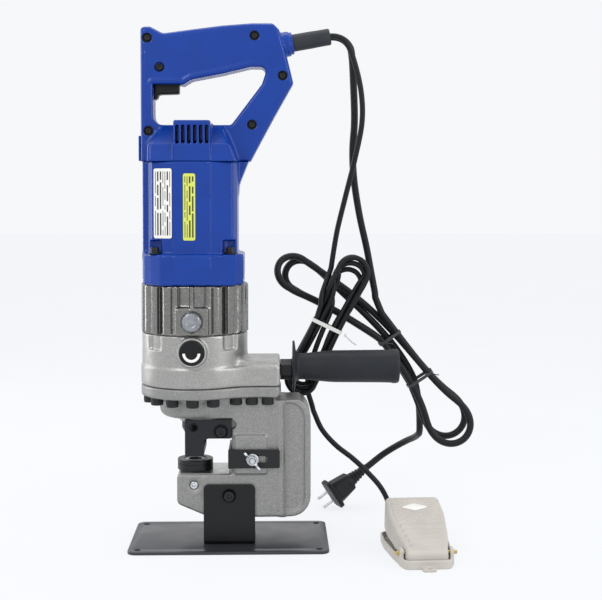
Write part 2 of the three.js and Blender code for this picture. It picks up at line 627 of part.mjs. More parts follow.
// ---------------------------------------------------------------- side handle
function addSideHandle() {
  const collar = join(disc(11, 0, SIDE.flangeX - SIDE.start - GAP, 6), disc(6, -17, 1, 16));
  add("handle_collar", alongX(collar, SIDE.start, 0, SIDE.z - 3), BLACK_STEEL);
  const long = SIDE.end - SIDE.flangeX;
  const grip = turned(
    [
      [0, 0], [SIDE.flangeR, 0], [SIDE.flangeR, 2], [13.6, 5], [13.4, 9], [SIDE.gripR, 40],
      [SIDE.gripR + 0.6, long - 8], [SIDE.gripR + 1.3, long - 4], [SIDE.gripR, long], [0, long],
    ],
    20,
  );
  add("side_handle", alongX(grip, SIDE.flangeX, 0, SIDE.z), GRIP);
}

// ---------------------------------------------------------------- foot switch
// It is made with the middle of its front edge at the origin and its back towards +Y, then turned and placed.
const FOOT_GLAND_X = -18; // the lead comes in near one back corner
const placeFoot = (made) => made.rotate([0, 0, FOOT.turn]).translate([FOOT.x, FOOT.y, 0]);

// Its plan widens from the front in a gentle curve; height is a number, or a function of the distance back.
function footLoop(grow, height) {
  const { long, halves } = FOOT;
  const right = halves.map((half, i) => [half + grow, [-grow, 0.35 * long, 0.7 * long, long + grow][i]]);
  const left = right.map(([x, y]) => [-x, y]).reverse();
  return [...right, ...left].map(([x, y]) => [x, y, typeof height === "function" ? height(y) : height]);
}

function addFootSwitch() {
  const { long, low, high } = FOOT;
  const top = (y) => low + ((high - low) * y) / long;
  const skirt = (y) => 6 + (10 * y) / long;
  const pinY = 11;
  const pinZ = 13;

  const ears = box(-27, 27, pinY - 5, pinY + 5, 0, pinZ + 5);
  const inside = loft([footLoop(1.2, 3), footLoop(1.2, pinZ + 20)]);
  const tray = join(loft([footLoop(3.6, 0), footLoop(3.2, 9)]), ears);
  const toe = upright(rectangle(-7, 7, -12, 0, 4), 0, 3, 4);
  const pinHole = alongX(disc(2.3, -60, 60, 16), 0, pinY, pinZ);
  const gland = alongY(disc(6, -2, 8, 16), FOOT_GLAND_X, long + 3.6, 8);
  const leadHole = alongY(disc(FOOT_D / 2 + GAP, -12, 20, 12), FOOT_GLAND_X, long, 8);
  const toeHole = disc(2.2, -1, 5, 12).translate([0, -8, 0]);
  add("pedal_base", placeFoot(cut(join(tray, toe, gland), inside, pinHole, leadHole, toeHole)), PEDAL);

  // The tread is a hollow wedge: its skirt sits inside the tray, and the pin is its hinge.
  const outer = loft([footLoop(0, skirt), footLoop(-1, top)]);
  const hollow = loft([footLoop(-2.6, 0), footLoop(-3.4, (y) => top(y) - 3)]);
  const pinBoss = alongX(disc(5, -17, 17, 16), 0, pinY, pinZ);
  add("pedal_tread", placeFoot(cut(join(cut(outer, hollow), pinBoss.intersect(outer)), pinHole)), PEDAL);
  add("pedal_pin", placeFoot(alongX(disc(2, -30.2, 30.2, 12), 0, pinY, pinZ)), BRASS);
  add("pedal_switch", placeFoot(box(-12, 12, 42, 66, 3.3, 21)), BLACK_PLASTIC);
}

// ---------------------------------------------------------------- leads
// Each lead leaves the boot, drops into a tied hank that leans on the side handle, and ends on the ground.
const bootEnd = (y, extra) => {
  const lean = (BOOT.lean * Math.PI) / 180;
  const reach = BOOT.long + extra;
  return [BOOT.x + reach * Math.cos(lean), y, BOOT.z + reach * Math.sin(lean)];
};
const MAINS_Y = 4.2; // where the mains lead leaves the boot's end face
const FOOT_Y = -4.4; // where the foot switch's lead leaves it
const MAINS_HANK = { discs: [[58, 281, 21], [172, 208, 17], [243, 103, 27]], y0: 53.5, y1: 89 };
const FOOT_HANK = { discs: [[133, 282, 19], [72, 156, 18]], y0: 31, y1: 51 };
const PLUG = { x: 111.3, y: 125, z: 15.2, turn: 20, lean: 33, flangeR: 17, long: 56 };

// The outline round two discs of different size: the shape of a tied hank seen from its side.
function hankOutline([[x0, z0, r0], [x1, z1, r1]]) {
  const along = Math.atan2(z1 - z0, x1 - x0);
  const spread = Math.acos((r0 - r1) / Math.hypot(x1 - x0, z1 - z0));
  const shape = new THREE.Shape();
  shape.absarc(x0, z0, r0, along + spread, along - spread + 2 * Math.PI, false);
  shape.absarc(x1, z1, r1, along - spread, along + spread, false);
  shape.closePath();
  return shape;
}

// A tied hank: a slab over a chain of discs, each joined to the next.
function hank({ discs, y0, y1 }) {
  const slabs = discs.slice(1).map((disc, i) => slab(hankOutline([discs[i], disc]), y0, y1, 6));
  return join(...slabs);
}

// A flat band round a hank, a given share of the way along one link of its chain of discs.
function hankTie({ discs, y0, y1 }, link, share, wide, thick) {
  const [[x0, z0, r0], [x1, z1, r1]] = discs.slice(link);
  const half = r0 + (r1 - r0) * share + 1;
  const [low, high] = [y0 - GAP, y1 + GAP];
  const outer = box(-wide / 2, wide / 2, low - thick, high + thick, -half - thick, half + thick);
  const inner = box(-wide, wide, low, high, -half, half);
  const turn = (-Math.atan2(z1 - z0, x1 - x0) * 180) / Math.PI;
  return cut(outer, inner).rotate([0, turn, 0]).translate([x0 + (x1 - x0) * share, 0, z0 + (z1 - z0) * share]);
}

function addLeads() {
  const stub = disc(BOOT.radius, -20, BOOT.long, 24);
  add("cord_boot", alongBoot(stub), RUBBER);

  const mainsLead = [
    bootEnd(MAINS_Y, 1), [112.4, 4.3, 521.9], [119.9, 4.4, 518], [125.1, 4.6, 511.3], [127, 5, 501],
    [128.7, 8, 474], [130.2, 15, 436], [129, 24, 406], [131, 36, 377], [138, 52, 338], [147, 63, 300],
    [153, 69, 270], [156.5, 71, 252], [157.5, 71, 241.5],
  ];
  add("mains_lead", tube(mainsLead, MAINS_D, 8, 26), RUBBER);
  add("mains_hank", hank(MAINS_HANK), RUBBER);
  add("mains_tie_upper", hankTie(MAINS_HANK, 1, 0.04, 5, 1.4), RUBBER);
  add("mains_tie_lower", hankTie(MAINS_HANK, 1, 0.48, 5, 1.4), RUBBER);

  const footLead = [
    bootEnd(FOOT_Y, 1), [111.4, -4.4, 521.9], [117.9, -4.4, 518.5], [122.9, -4.3, 512], [129.3, -4, 494.8],
    [136, -3, 465], [137.2, 0, 435.6], [130.2, 5, 397], [121, 14, 358], [113, 27, 322],
    [109.5, 36, 299], [107.6, 40, 285], [106.4, 41, 277],
  ];
  add("foot_lead", tube(footLead, FOOT_D, 8, 26), RUBBER);
  add("foot_hank", hank(FOOT_HANK), RUBBER);
  add("foot_tie", hankTie(FOOT_HANK, 0, 0.5, 5, 1.4), PEDAL);

  const plugEnd = plugPoint(PLUG.long + 1.6);
  const mainsTail = [
    [210, 91, 97.5], [209, 103, 90], [206, 119, 83], [198, 135, 75.5], [184, 144.5, 65.5], [171, 146.4, 56.6],
    plugEnd,
  ];
  add("mains_tail", tube(mainsTail, MAINS_D, 8, 18), RUBBER);
  const footTail = [
    [85, 40, 140.2], [88, 39, 128], [97, 37.5, 108], [112, 35.5, 91], [130, 34, 77], [146, 33, 62],
    [160, 32, 46], [168, 33, 30], [170, 30, 17], [169.6, 22, 10], [169.7, 13, 8], [169.9, 4.9, 8],
  ];
  add("foot_tail", tube(footTail, FOOT_D, 8, 18), RUBBER);
}

// A piece made along Z from the plug's face towards its lead, laid where the plug lies.
const layPlug = (made) =>
  made.rotate([0, 90 - PLUG.lean, 0]).rotate([0, 0, PLUG.turn]).translate([PLUG.x, PLUG.y, PLUG.z]);

// A point on the plug's axis, a given way back from its face.
function plugPoint(back) {
  const [lean, turn] = [PLUG.lean, PLUG.turn].map((degrees) => (degrees * Math.PI) / 180);
  const flat = back * Math.cos(lean);
  return [PLUG.x + flat * Math.cos(turn), PLUG.y + flat * Math.sin(turn), PLUG.z + back * Math.sin(lean)];
}

function addPlug() {
  const body = turned(
    [
      [0, 0], [PLUG.flangeR, 0], [PLUG.flangeR, 3], [13, 5.5], [12, 26], [8, 32],
      [MAINS_D / 2 + 1.4, PLUG.long], [0, PLUG.long],
    ],
    20,
  );
  const blades = [-1, 1].map((side) => box(side * 6.35 - 0.75, side * 6.35 + 0.75, -3.2, 3.2, -16, 5));
  const slots = [-1, 1].map((side) => box(side * 6.35 - 1.1, side * 6.35 + 1.1, -3.6, 3.6, -1, 5.4));
  add("plug_body", layPlug(cut(body, ...slots)), RUBBER);
  blades.forEach((blade, i) => add(`plug_blade_${i + 1}`, layPlug(blade), BRASS));
}

addStand();
addFrame();
addDieSet();
addStripper();
addGauge();
addRam();
addCylinderBody();
addPumpHousing();
addMotor();
addMotorHousing();
addHandle();
addSideHandle();
addFootSwitch();
addLeads();
addPlug();

export default tool;
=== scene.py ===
"""Looks for a portable electro-hydraulic hole punch on its bench stand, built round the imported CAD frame.

Castings and mouldings are modelled as fields of distance on a fine grid, negative inside, and turned into
smooth closed meshes. Lengths inside the shape functions are millimetres in the CAD frame, and every mesh is
made in metres.
"""

import math

import bmesh
import bpy
import numpy as np
import openvdb
from mathutils import Matrix, Vector


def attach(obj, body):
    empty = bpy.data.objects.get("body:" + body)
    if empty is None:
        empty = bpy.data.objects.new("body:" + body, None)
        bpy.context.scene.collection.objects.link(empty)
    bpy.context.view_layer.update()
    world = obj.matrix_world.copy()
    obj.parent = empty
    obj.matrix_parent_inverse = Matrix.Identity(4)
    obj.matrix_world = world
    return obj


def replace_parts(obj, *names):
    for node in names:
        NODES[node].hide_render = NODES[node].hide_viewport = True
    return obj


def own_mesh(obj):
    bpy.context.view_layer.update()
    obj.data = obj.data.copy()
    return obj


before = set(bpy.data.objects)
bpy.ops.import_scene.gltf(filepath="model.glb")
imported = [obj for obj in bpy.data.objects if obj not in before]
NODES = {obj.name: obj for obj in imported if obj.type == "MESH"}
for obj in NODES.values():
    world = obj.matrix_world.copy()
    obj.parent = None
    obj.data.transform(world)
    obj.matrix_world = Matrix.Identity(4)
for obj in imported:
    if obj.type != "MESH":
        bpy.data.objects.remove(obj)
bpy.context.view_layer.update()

MM = 0.001
AXIS_X = -36.0  # the ram's axis
AXIS = (AXIS_X, 0)
JAW_FACE = 28.5  # half the C-frame's thickness
FRAME_TOP = 164.85
CYLINDER_LOW, CYLINDER_TOP = 165.15, 218.35
PUMP_LOW = 218.65
MOTOR_LOW, MOTOR_TOP = 268.65, 393
HANDLE_LOW = 393.3
KNOB_Z = 202.5  # the release knob's axis
OIL_PLUG_Z = 233
SIGHT_Z = 122  # the hole in the stripper that shows the punch's nut
DIE_SCREW_Z = 63
STAND_SCREW_Z = 52.8
STRIPPER_SCREW_X, STRIPPER_SCREW_Z = -8.3, 118
GAUGE_X, GAUGE_Z = 24, 90.6  # the gauge's stud
COLLAR_Z, GRIP_Z = 178, 181  # the side handle's collar and grip
LOCK_X, LOCK_Z = -70.4, 489.5
HINGE = (11, 13)  # the foot switch's hinge pin, as its own y and z
PHOTO_WIDTH = 602
SENSOR = 36.0


# ---------------------------------------------------------------- camera
def stand(name, data):
    """An object made from its data and linked into the scene."""
    made = bpy.data.objects.new(name, data)
    bpy.context.scene.collection.objects.link(made)
    return made


def add_camera():
    focal_px, pitch, yaw = 1282.5, 2.31, -1.254
    data = bpy.data.cameras.new("camera")
    data.sensor_width = SENSOR
    data.lens = focal_px / PHOTO_WIDTH * SENSOR
    data.clip_start = 0.05
    data.dof.use_dof = False
    data.shift_y = -0.1
    camera = stand("camera", data)
    camera.location = (0.0449, -1.3288, 0.3664)
    camera.rotation_euler = (math.radians(90 - pitch), 0.0, math.radians(yaw))
    bpy.context.scene.camera = camera


add_camera()


# ---------------------------------------------------------------- meshes
def piece_from(name, vertices, faces, material, body, smooth=True, angle=None):
    """A mesh piece from vertices in metres, riding on a body."""
    mesh = bpy.data.meshes.new(name)
    mesh.from_pydata([tuple(v) for v in vertices], [], [tuple(f) for f in faces])
    mesh.validate()
    return finish_piece(name, mesh, material, body, smooth, angle)


def finish_piece(name, mesh, material, body, smooth=True, angle=None):
    mesh.polygons.foreach_set("use_smooth", [smooth] * len(mesh.polygons))
    if angle is not None:
        mesh.set_sharp_from_angle(angle=math.radians(angle))
    mesh.materials.append(material)
    mesh.update()
    piece = stand(name, mesh)
    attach(piece, body)
    return piece


def span(line, low, high):
    """Distance from the stretch between two levels of one coordinate."""
    return np.abs(line - (low + high) / 2) - (high - low) / 2


def rounded(a, b, r):
    """Where two fields are both inside, with a rounded edge of radius r."""
    if r <= 0:
        return np.maximum(a, b)
    inner = np.minimum(np.maximum(a, b) + r, 0)
    return inner + np.sqrt(np.maximum(a + r, 0) ** 2 + np.maximum(b + r, 0) ** 2) - r


def melt(a, b, r):
    """Two fields joined with a fillet of about radius r."""
    if r <= 0:
        return np.minimum(a, b)
    h = np.maximum(r - np.abs(a - b), 0) / r
    return np.minimum(a, b) - h * h * r / 4


def carve(a, b, r=0.0):
    """Field a with field b taken out of it, with an eased edge."""
    return -melt(-a, b, r)


def polygon(u, v, points):
    """Distance from a closed polygon in the plane of u and v."""
    shape = np.broadcast_shapes(u.shape, v.shape)
    best = np.full(shape, 1e12, np.float32)
    inside = np.zeros(shape, bool)
    for i, (ax, ay) in enumerate(points):
        bx, by = points[(i + 1) % len(points)]
        ex, ey = bx - ax, by - ay
        square = ex * ex + ey * ey
        if square < 1e-9:
            continue
        t = np.clip(((u - ax) * ex + (v - ay) * ey) / square, 0, 1)
        best = np.minimum(best, (u - ax - t * ex) ** 2 + (v - ay - t * ey) ** 2)
        if ay != by:
            inside ^= ((ay > v) != (by > v)) & (u < ex * (v - ay) / ey + ax)
    return np.where(inside, -1, 1).astype(np.float32) * np.sqrt(best)


def corners(points, steps=6):
    """A polygon whose corners (x, y, radius) are rounded."""
    made = []
    for i, corner in enumerate(points):
        here = Vector(corner[:2])
        r = corner[2] if len(corner) > 2 else 0
        if not r:
            made.append(tuple(here))
            continue
        to_last = (Vector(points[i - 1][:2]) - here).normalized()
        to_next = (Vector(points[(i + 1) % len(points)][:2]) - here).normalized()
        half = math.acos(max(-1, min(1, to_last.dot(to_next)))) / 2
        middle = here + (to_last + to_next).normalized() * (r / math.sin(half))
        reach = r / math.tan(half)
        first = here + to_last * reach - middle
        turn = first.angle_signed(here + to_next * reach - middle)
        for k in range(steps + 1):
            a = -turn * k / steps
            c, s = math.cos(a), math.sin(a)
            made.append((middle.x + first.x * c - first.y * s, middle.y + first.x * s + first.y * c))
    return made


class Grid:
    """Points over a box in millimetres, and the fields of simple shapes on them: negative inside."""

    def __init__(self, low, high, step):
        self.step = step
        self.low = np.array(low, float) - 2.5 * step
        top = np.array(high, float) + 2.5 * step
        counts = np.ceil((top - self.low) / step).astype(int) + 1
        lines = [(self.low[i] + step * np.arange(counts[i])).astype(np.float32) for i in range(3)]
        self.x = lines[0][:, None, None]
        self.y = lines[1][None, :, None]
        self.z = lines[2][None, None, :]

    def box(self, x0, x1, y0, y1, z0, z1, r=0.0):
        sides = (
            span(self.x, x0, x1) + r,
            span(self.y, y0, y1) + r,
            span(self.z, z0, z1) + r,
        )
        outside = np.sqrt(sum(np.maximum(s, 0) ** 2 for s in sides))
        return outside + np.minimum(np.maximum(np.maximum(sides[0], sides[1]), sides[2]), 0) - r

    def lines(self, axis):
        """The two coordinates across an axis, in order, and the one along it."""
        if axis == "x":
            return self.y, self.z, self.x
        return (self.x, self.z, self.y) if axis == "y" else (self.x, self.y, self.z)

    def radial(self, x=0):
        """Distance from an upright line over a point of the x axis."""
        return np.sqrt((self.x - x) ** 2 + self.y**2)

    def disc(self, axis, centre, radius, low, high, r=0.0):
        """A cylinder along x, y or z; centre gives the other two coordinates in order."""
        u, v, w = self.lines(axis)
        radial = np.sqrt((u - centre[0]) ** 2 + (v - centre[1]) ** 2) - radius
        return rounded(radial, span(w, low, high), r)

    def plate(self, axis, points, low, high, r=0.0):
        """A polygon pushed along an axis between two levels, with rounded rims."""
        u, v, w = self.lines(axis)
        return rounded(polygon(u, v, points), span(w, low, high), r)

    def piece(self, name, field, material, body="tool", slot="cast_grey"):
        """The closed surface where the field is zero, as a smooth piece."""
        grid = openvdb.FloatGrid(background=3.0)
        full = np.broadcast_to(field, (self.x.size, self.y.size, self.z.size)) / self.step
        grid.copyFromArray(np.ascontiguousarray(np.clip(full, -3, 3), dtype=np.float32))
        points, quads = grid.convertToQuads(0.0)
        if len(quads) == 0:
            raise ValueError(name + " is empty")
        mesh = bpy.data.meshes.new(name)
        mesh.vertices.add(len(points))
        mesh.vertices.foreach_set("co", ((points * self.step + self.low) * MM).astype(np.float32).ravel())
        mesh.loops.add(len(quads) * 4)
        mesh.loops.foreach_set("vertex_index", quads.astype(np.int32).ravel())
        mesh.polygons.add(len(quads))
        mesh.polygons.foreach_set("loop_start", np.arange(0, len(quads) * 4, 4, dtype=np.int32))
        mesh.update(calc_edges=True)
        mesh.validate()
        return finish_piece(name, mesh, material, body)


def lathe(name, profile, material, body, place=None, sides=64, angle=32):
    """A turned piece: a closed profile of (radius, height) in millimetres, laid by a matrix."""
    vertices, faces = [], []
    rings = []
    for r, h in profile:
        if r < 1e-6:
            rings.append([len(vertices)])
            vertices.append((0.0, 0.0, h * MM))
            continue
        rings.append(list(range(len(vertices), len(vertices) + sides)))
        for k in range(sides):
            a = math.tau * k / sides
            vertices.append((r * math.cos(a) * MM, r * math.sin(a) * MM, h * MM))
    pairs = list(zip(rings, rings[1:]))
    if profile[0][0] > 1e-6:
        pairs.append((rings[-1], rings[0]))
    for a, b in pairs:
        for k in range(sides):
            n = (k + 1) % sides
            if len(a) == 1 and len(b) == 1:
                continue
            if len(a) == 1:
                faces.append((a[0], b[n], b[k]))
            elif len(b) == 1:
                faces.append((a[k], a[n], b[0]))
            else:
                faces.append((a[k], a[n], b[n], b[k]))
    piece = piece_from(name, vertices, faces, material, body, True, angle)
    if place is not None:
        piece.data.transform(place)
    return piece


def shift(x, y, z):
    return Matrix.Translation((x * MM, y * MM, z * MM))


def turn(degrees, axis):
    return Matrix.Rotation(math.radians(degrees), 4, axis)


# ---------------------------------------------------------------- materials
def srgb(r, g, b):
    """A colour given as 0-255 screen values, in linear light."""
    screen = (r / 255, g / 255, b / 255)
    return tuple(c / 12.92 if c <= 0.04045 else ((c + 0.055) / 1.055) ** 2.4 for c in screen)


class Look:
    """A procedural material: two blended colours, uneven gloss and layers of fine relief."""

    def __init__(self, name, metallic=0.0, coat=0.0, coat_roughness=0.1, specular=0.5):
        self.material = bpy.data.materials.new(name)
        self.material.use_nodes = True
        tree = self.material.node_tree
        self.nodes, self.links = tree.nodes, tree.links
        self.shader = self.nodes["Principled BSDF"]
        self.shader.inputs["Metallic"].default_value = metallic
        self.shader.inputs["Coat Weight"].default_value = coat
        self.shader.inputs["Coat Roughness"].default_value = coat_roughness
        self.shader.inputs["Specular IOR Level"].default_value = specular
        self.where = self.nodes.new("ShaderNodeTexCoord").outputs["Object"]
        self.relief = None

    def link(self, source, target):
        self.links.new(source, target)

    def noise(self, per_metre, detail=3.0, roughness=0.55, stretch=(1, 1, 1)):
        mapping = self.nodes.new("ShaderNodeMapping")
        mapping.inputs["Scale"].default_value = stretch
        self.link(self.where, mapping.inputs["Vector"])
        node = self.nodes.new("ShaderNodeTexNoise")
        node.inputs["Scale"].default_value = per_metre
        node.inputs["Detail"].default_value = detail
        node.inputs["Roughness"].default_value = roughness
        self.link(mapping.outputs["Vector"], node.inputs["Vector"])
        return node.outputs["Fac"]

    def ramp(self, source, stops):
        node = self.nodes.new("ShaderNodeValToRGB")
        elements = node.color_ramp.elements
        while len(elements) < len(stops):
            elements.new(0.5)
        for element, (place, color) in zip(elements, stops):
            element.position = place
            element.color = (*color, 1.0)
        self.link(source, node.inputs["Fac"])
        return node.outputs["Color"]

    def color(self, source, stops):
        self.link(self.ramp(source, stops), self.shader.inputs["Base Color"])
        return self

    def gloss(self, source, low, high):
        node = self.nodes.new("ShaderNodeMapRange")
        node.inputs["From Min"].default_value = 0.3
        node.inputs["From Max"].default_value = 0.7
        node.inputs["To Min"].default_value = low
        node.inputs["To Max"].default_value = high
        self.link(source, node.inputs["Value"])
        self.link(node.outputs["Result"], self.shader.inputs["Roughness"])
        return self

    def bump(self, source, height_mm):
        node = self.nodes.new("ShaderNodeBump")
        node.inputs["Strength"].default_value = 1.0
        node.inputs["Distance"].default_value = height_mm * MM
        self.link(source, node.inputs["Height"])
        if self.relief is not None:
            self.link(self.relief, node.inputs["Normal"])
        self.relief = node.outputs["Normal"]
        self.link(self.relief, self.shader.inputs["Normal"])
        return self


def cast_look(name, dark, mid, light, rough, metallic, grain, pits):
    """Sand-cast metal: a fine uneven grain, small pits, and slow changes of tone."""
    look = Look(name, metallic)
    fine = look.noise(grain, 4.0, 0.65)
    look.color(fine, [(0.32, dark), (0.5, mid), (0.68, light)])
    look.gloss(look.noise(90, 3.0), rough - 0.06, rough + 0.1)
    look.bump(look.noise(60, 2.0), 0.25)
    look.bump(fine, pits)
    return look.material


def metal_look(name, color, rough, fine_per_metre=2500, stretch=(1, 1, 1), relief=0.01):
    """Machined or plated metal with faint tool marks."""
    vary = 0.18
    look = Look(name, 1.0)
    marks = look.noise(fine_per_metre, 2.0, 0.5, stretch)
    dark = tuple(c * (1 - vary) for c in color)
    light = tuple(min(1.0, c * (1 + vary)) for c in color)
    look.color(look.noise(140, 4.0), [(0.35, dark), (0.65, light)])
    look.gloss(marks, rough - 0.06, rough + 0.08)
    look.bump(marks, relief)
    return look.material


def moulded_look(name, color, rough, coat=0.0, grain=1500, relief=0.02, vary=0.08, specular=0.25):
    """Moulded plastic or rubber with a fine grain and faint changes of tone."""
    look = Look(name, 0.0, coat, 0.12, specular)
    dark = tuple(c * (1 - vary) for c in color)
    light = tuple(c * (1 + vary) for c in color)
    look.color(look.noise(45, 4.0), [(0.35, dark), (0.65, light)])
    look.gloss(look.noise(30, 3.0), rough - 0.04, rough + 0.05)
    look.bump(look.noise(grain, 2.0), relief)
    return look.material


CAST = cast_look(
    "cast_iron_grey", srgb(124, 124, 123), srgb(141, 141, 139), srgb(158, 158, 156), 0.44, 0.62, 900, 0.05
)
BODY_CAST = cast_look(
    "cast_body_grey", srgb(140, 140, 137), srgb(160, 160, 157), srgb(178, 178, 175), 0.36, 0.75, 950, 0.035
)
BRIGHT_CAST = cast_look(
    "cast_bright", srgb(116, 115, 113), srgb(128, 127, 125), srgb(144, 143, 141), 0.2, 0.95, 500, 0.012
)
MACHINED = metal_look("machined_face", srgb(186, 186, 184), 0.34, 900, (1, 6, 1), 0.012)
TOOL_STEEL = metal_look("tool_steel", srgb(150, 153, 158), 0.28, 1200, (1, 1, 8))
ZINC = metal_look("zinc_plate", srgb(206, 209, 214), 0.2)
YELLOW_ZINC = metal_look("yellow_zinc", srgb(196, 170, 92), 0.26)
COPPER = metal_look("copper_winding", srgb(184, 112, 70), 0.35, 800, (1, 1, 10), 0.08)
BLACK_OXIDE = moulded_look("black_oxide", srgb(15, 16, 18), 0.34, grain=1800, relief=0.015, specular=0.4)
BLACK_PAINT = moulded_look("black_paint", srgb(17, 18, 21), 0.38, grain=900, relief=0.04, specular=0.3)
SLATE_PAINT = moulded_look("slate_steel", srgb(27, 29, 33), 0.4, grain=900, relief=0.05, specular=0.3)
PLATE_PAINT = moulded_look("plate_paint", srgb(42, 44, 49), 0.34, grain=700, relief=0.05, specular=0.5)
BLUE = moulded_look("blue_plastic", srgb(5, 54, 141), 0.27, coat=0.12, grain=1100, relief=0.018, vary=0.05)
BLACK_PLASTIC = moulded_look("black_plastic", srgb(16, 17, 19), 0.42, grain=1500, relief=0.03)
GRIP = moulded_look("grip_slate", srgb(32, 35, 40), 0.48, grain=1300, relief=0.05)
BOOT = moulded_look("boot_rubber", srgb(43, 47, 52), 0.52, grain=1300, relief=0.04)
CORD = moulded_look("cord_rubber", srgb(19, 21, 24), 0.44, grain=900, relief=0.06)
SEAL = moulded_look("seal_rubber", srgb(24, 24, 26), 0.6, grain=900, relief=0.05)
CARBON = moulded_look("carbon_block", srgb(38, 38, 40), 0.7, grain=1100, relief=0.08)
PEDAL = moulded_look("pedal_plastic", srgb(187, 182, 175), 0.46, grain=1000, relief=0.03, vary=0.04)
TIE_WHITE = moulded_look("tie_white", srgb(226, 226, 222), 0.4, grain=1200, relief=0.02, vary=0.03)
WIRE_TIE = moulded_look("tie_wire", srgb(58, 60, 62), 0.45, grain=1500, relief=0.03)
STICKER = {"coat": 0.4, "grain": 300, "relief": 0.01}
LABEL_WHITE = moulded_look("label_white", srgb(232, 231, 226), 0.42, vary=0.02, **STICKER)
LABEL_YELLOW = moulded_look("label_yellow", srgb(206, 214, 92), 0.42, vary=0.03, **STICKER)
INK = moulded_look("label_ink", srgb(60, 60, 62), 0.5, grain=300, relief=0.01)
# Near black, painted into the handle's screw wells as painted shade.
PAINTED_WELL_SHADE = moulded_look("well_shade_painted", srgb(14, 14, 16), 0.6, grain=900, relief=0.05)


# ---------------------------------------------------------------- leads
MAINS_D = 7.5
FOOT_D = 5.7
BOOT_X, BOOT_Z, BOOT_LONG, BOOT_LEAN = 61.4, 514.8, 43.3, math.radians(10)
PLUG_X, PLUG_Y, PLUG_Z, PLUG_TURN, PLUG_LEAN = 111.3, 125, 15.2, 20, 33


def boot_end(y, extra):
    """A point on a lead's line out of the boot, a given way past the boot's end face."""
    reach = BOOT_LONG + extra
    return (BOOT_X + reach * math.cos(BOOT_LEAN), y, BOOT_Z + reach * math.sin(BOOT_LEAN))


def plug_point(back):
    """A point on the plug's axis, a given way back from its face."""
    lean, way = math.radians(PLUG_LEAN), math.radians(PLUG_TURN)
    flat = back * math.cos(lean)
    return (PLUG_X + flat * math.cos(way), PLUG_Y + flat * math.sin(way), PLUG_Z + back * math.sin(lean))


MAINS_LEAD = [
    boot_end(4.2, -6), boot_end(4.2, 1), (112.4, 4.3, 521.9), (119.9, 4.4, 518), (125.1, 4.6, 511.3),
    (127, 5, 501),
    (128.7, 8, 474), (130.2, 15, 436), (129, 24, 406), (131, 36, 377), (138, 52, 338), (147, 63, 300),
    (153, 69, 270), (156.5, 71, 252), (157.5, 71, 241.5),
]
FOOT_LEAD = [
    boot_end(-4.4, -6), boot_end(-4.4, 1), (111.4, -4.4, 521.9), (117.9, -4.4, 518.5), (122.9, -4.3, 512),
    (129.3, -4, 494.8),
    (136, -3, 465), (137.2, 0, 435.6), (130.2, 5, 397), (121, 14, 358), (113, 27, 322), (109.5, 36, 299),
    (107.6, 40, 285), (106.4, 41, 277),
]
MAINS_TAIL = [
    (210, 91, 97.5), (209, 103, 90), (206, 119, 83), (198, 135, 75.5), (184, 144.5, 65.5),
    (171, 146.4, 56.6),
    plug_point(57.6), plug_point(50),
]
FOOT_TAIL = [
    (85, 40, 140.2), (88, 39, 128), (97, 37.5, 108), (112, 35.5, 91), (130, 34, 77), (146, 33, 62),
    (160, 32, 46),
    (168, 33, 30), (170, 30, 17), (169.6, 22, 10), (169.7, 13, 8), (169.9, 4.9, 8),
]


def blend(u, v, t, start, end):
    """Goes from u to v as t goes from start to end."""
    return (end - t) / (end - start) * u + (t - start) / (end - start) * v


def resample(points, pitch):
    """Points a pitch apart along a smooth curve through the given ones."""
    p = np.array(points, float)
    p = np.vstack([2 * p[0] - p[1], p, 2 * p[-1] - p[-2]])
    dense = []
    for i in range(1, len(p) - 2):
        gaps = [max(np.linalg.norm(p[i + k] - p[i + k - 1]), 1e-6) ** 0.5 for k in range(3)]
        first, start, end, last = np.cumsum([0] + gaps)
        a, b, c, d = p[i - 1], p[i], p[i + 1], p[i + 2]
        for t in np.linspace(start, end, 24, endpoint=False):
            middle = blend(b, c, t, start, end)
            before = blend(blend(a, b, t, first, start), middle, t, first, end)
            after = blend(middle, blend(c, d, t, end, last), t, start, last)
            dense.append(blend(before, after, t, start, end))
    dense.append(p[-2])
    dense = np.array(dense)
    along = np.concatenate([[0], np.cumsum(np.linalg.norm(np.diff(dense, axis=0), axis=1))])
    count = max(2, int(round(along[-1] / pitch)) + 1)
    wanted = np.linspace(0, along[-1], count)
    return np.column_stack([np.interp(wanted, along, dense[:, k]) for k in range(3)])


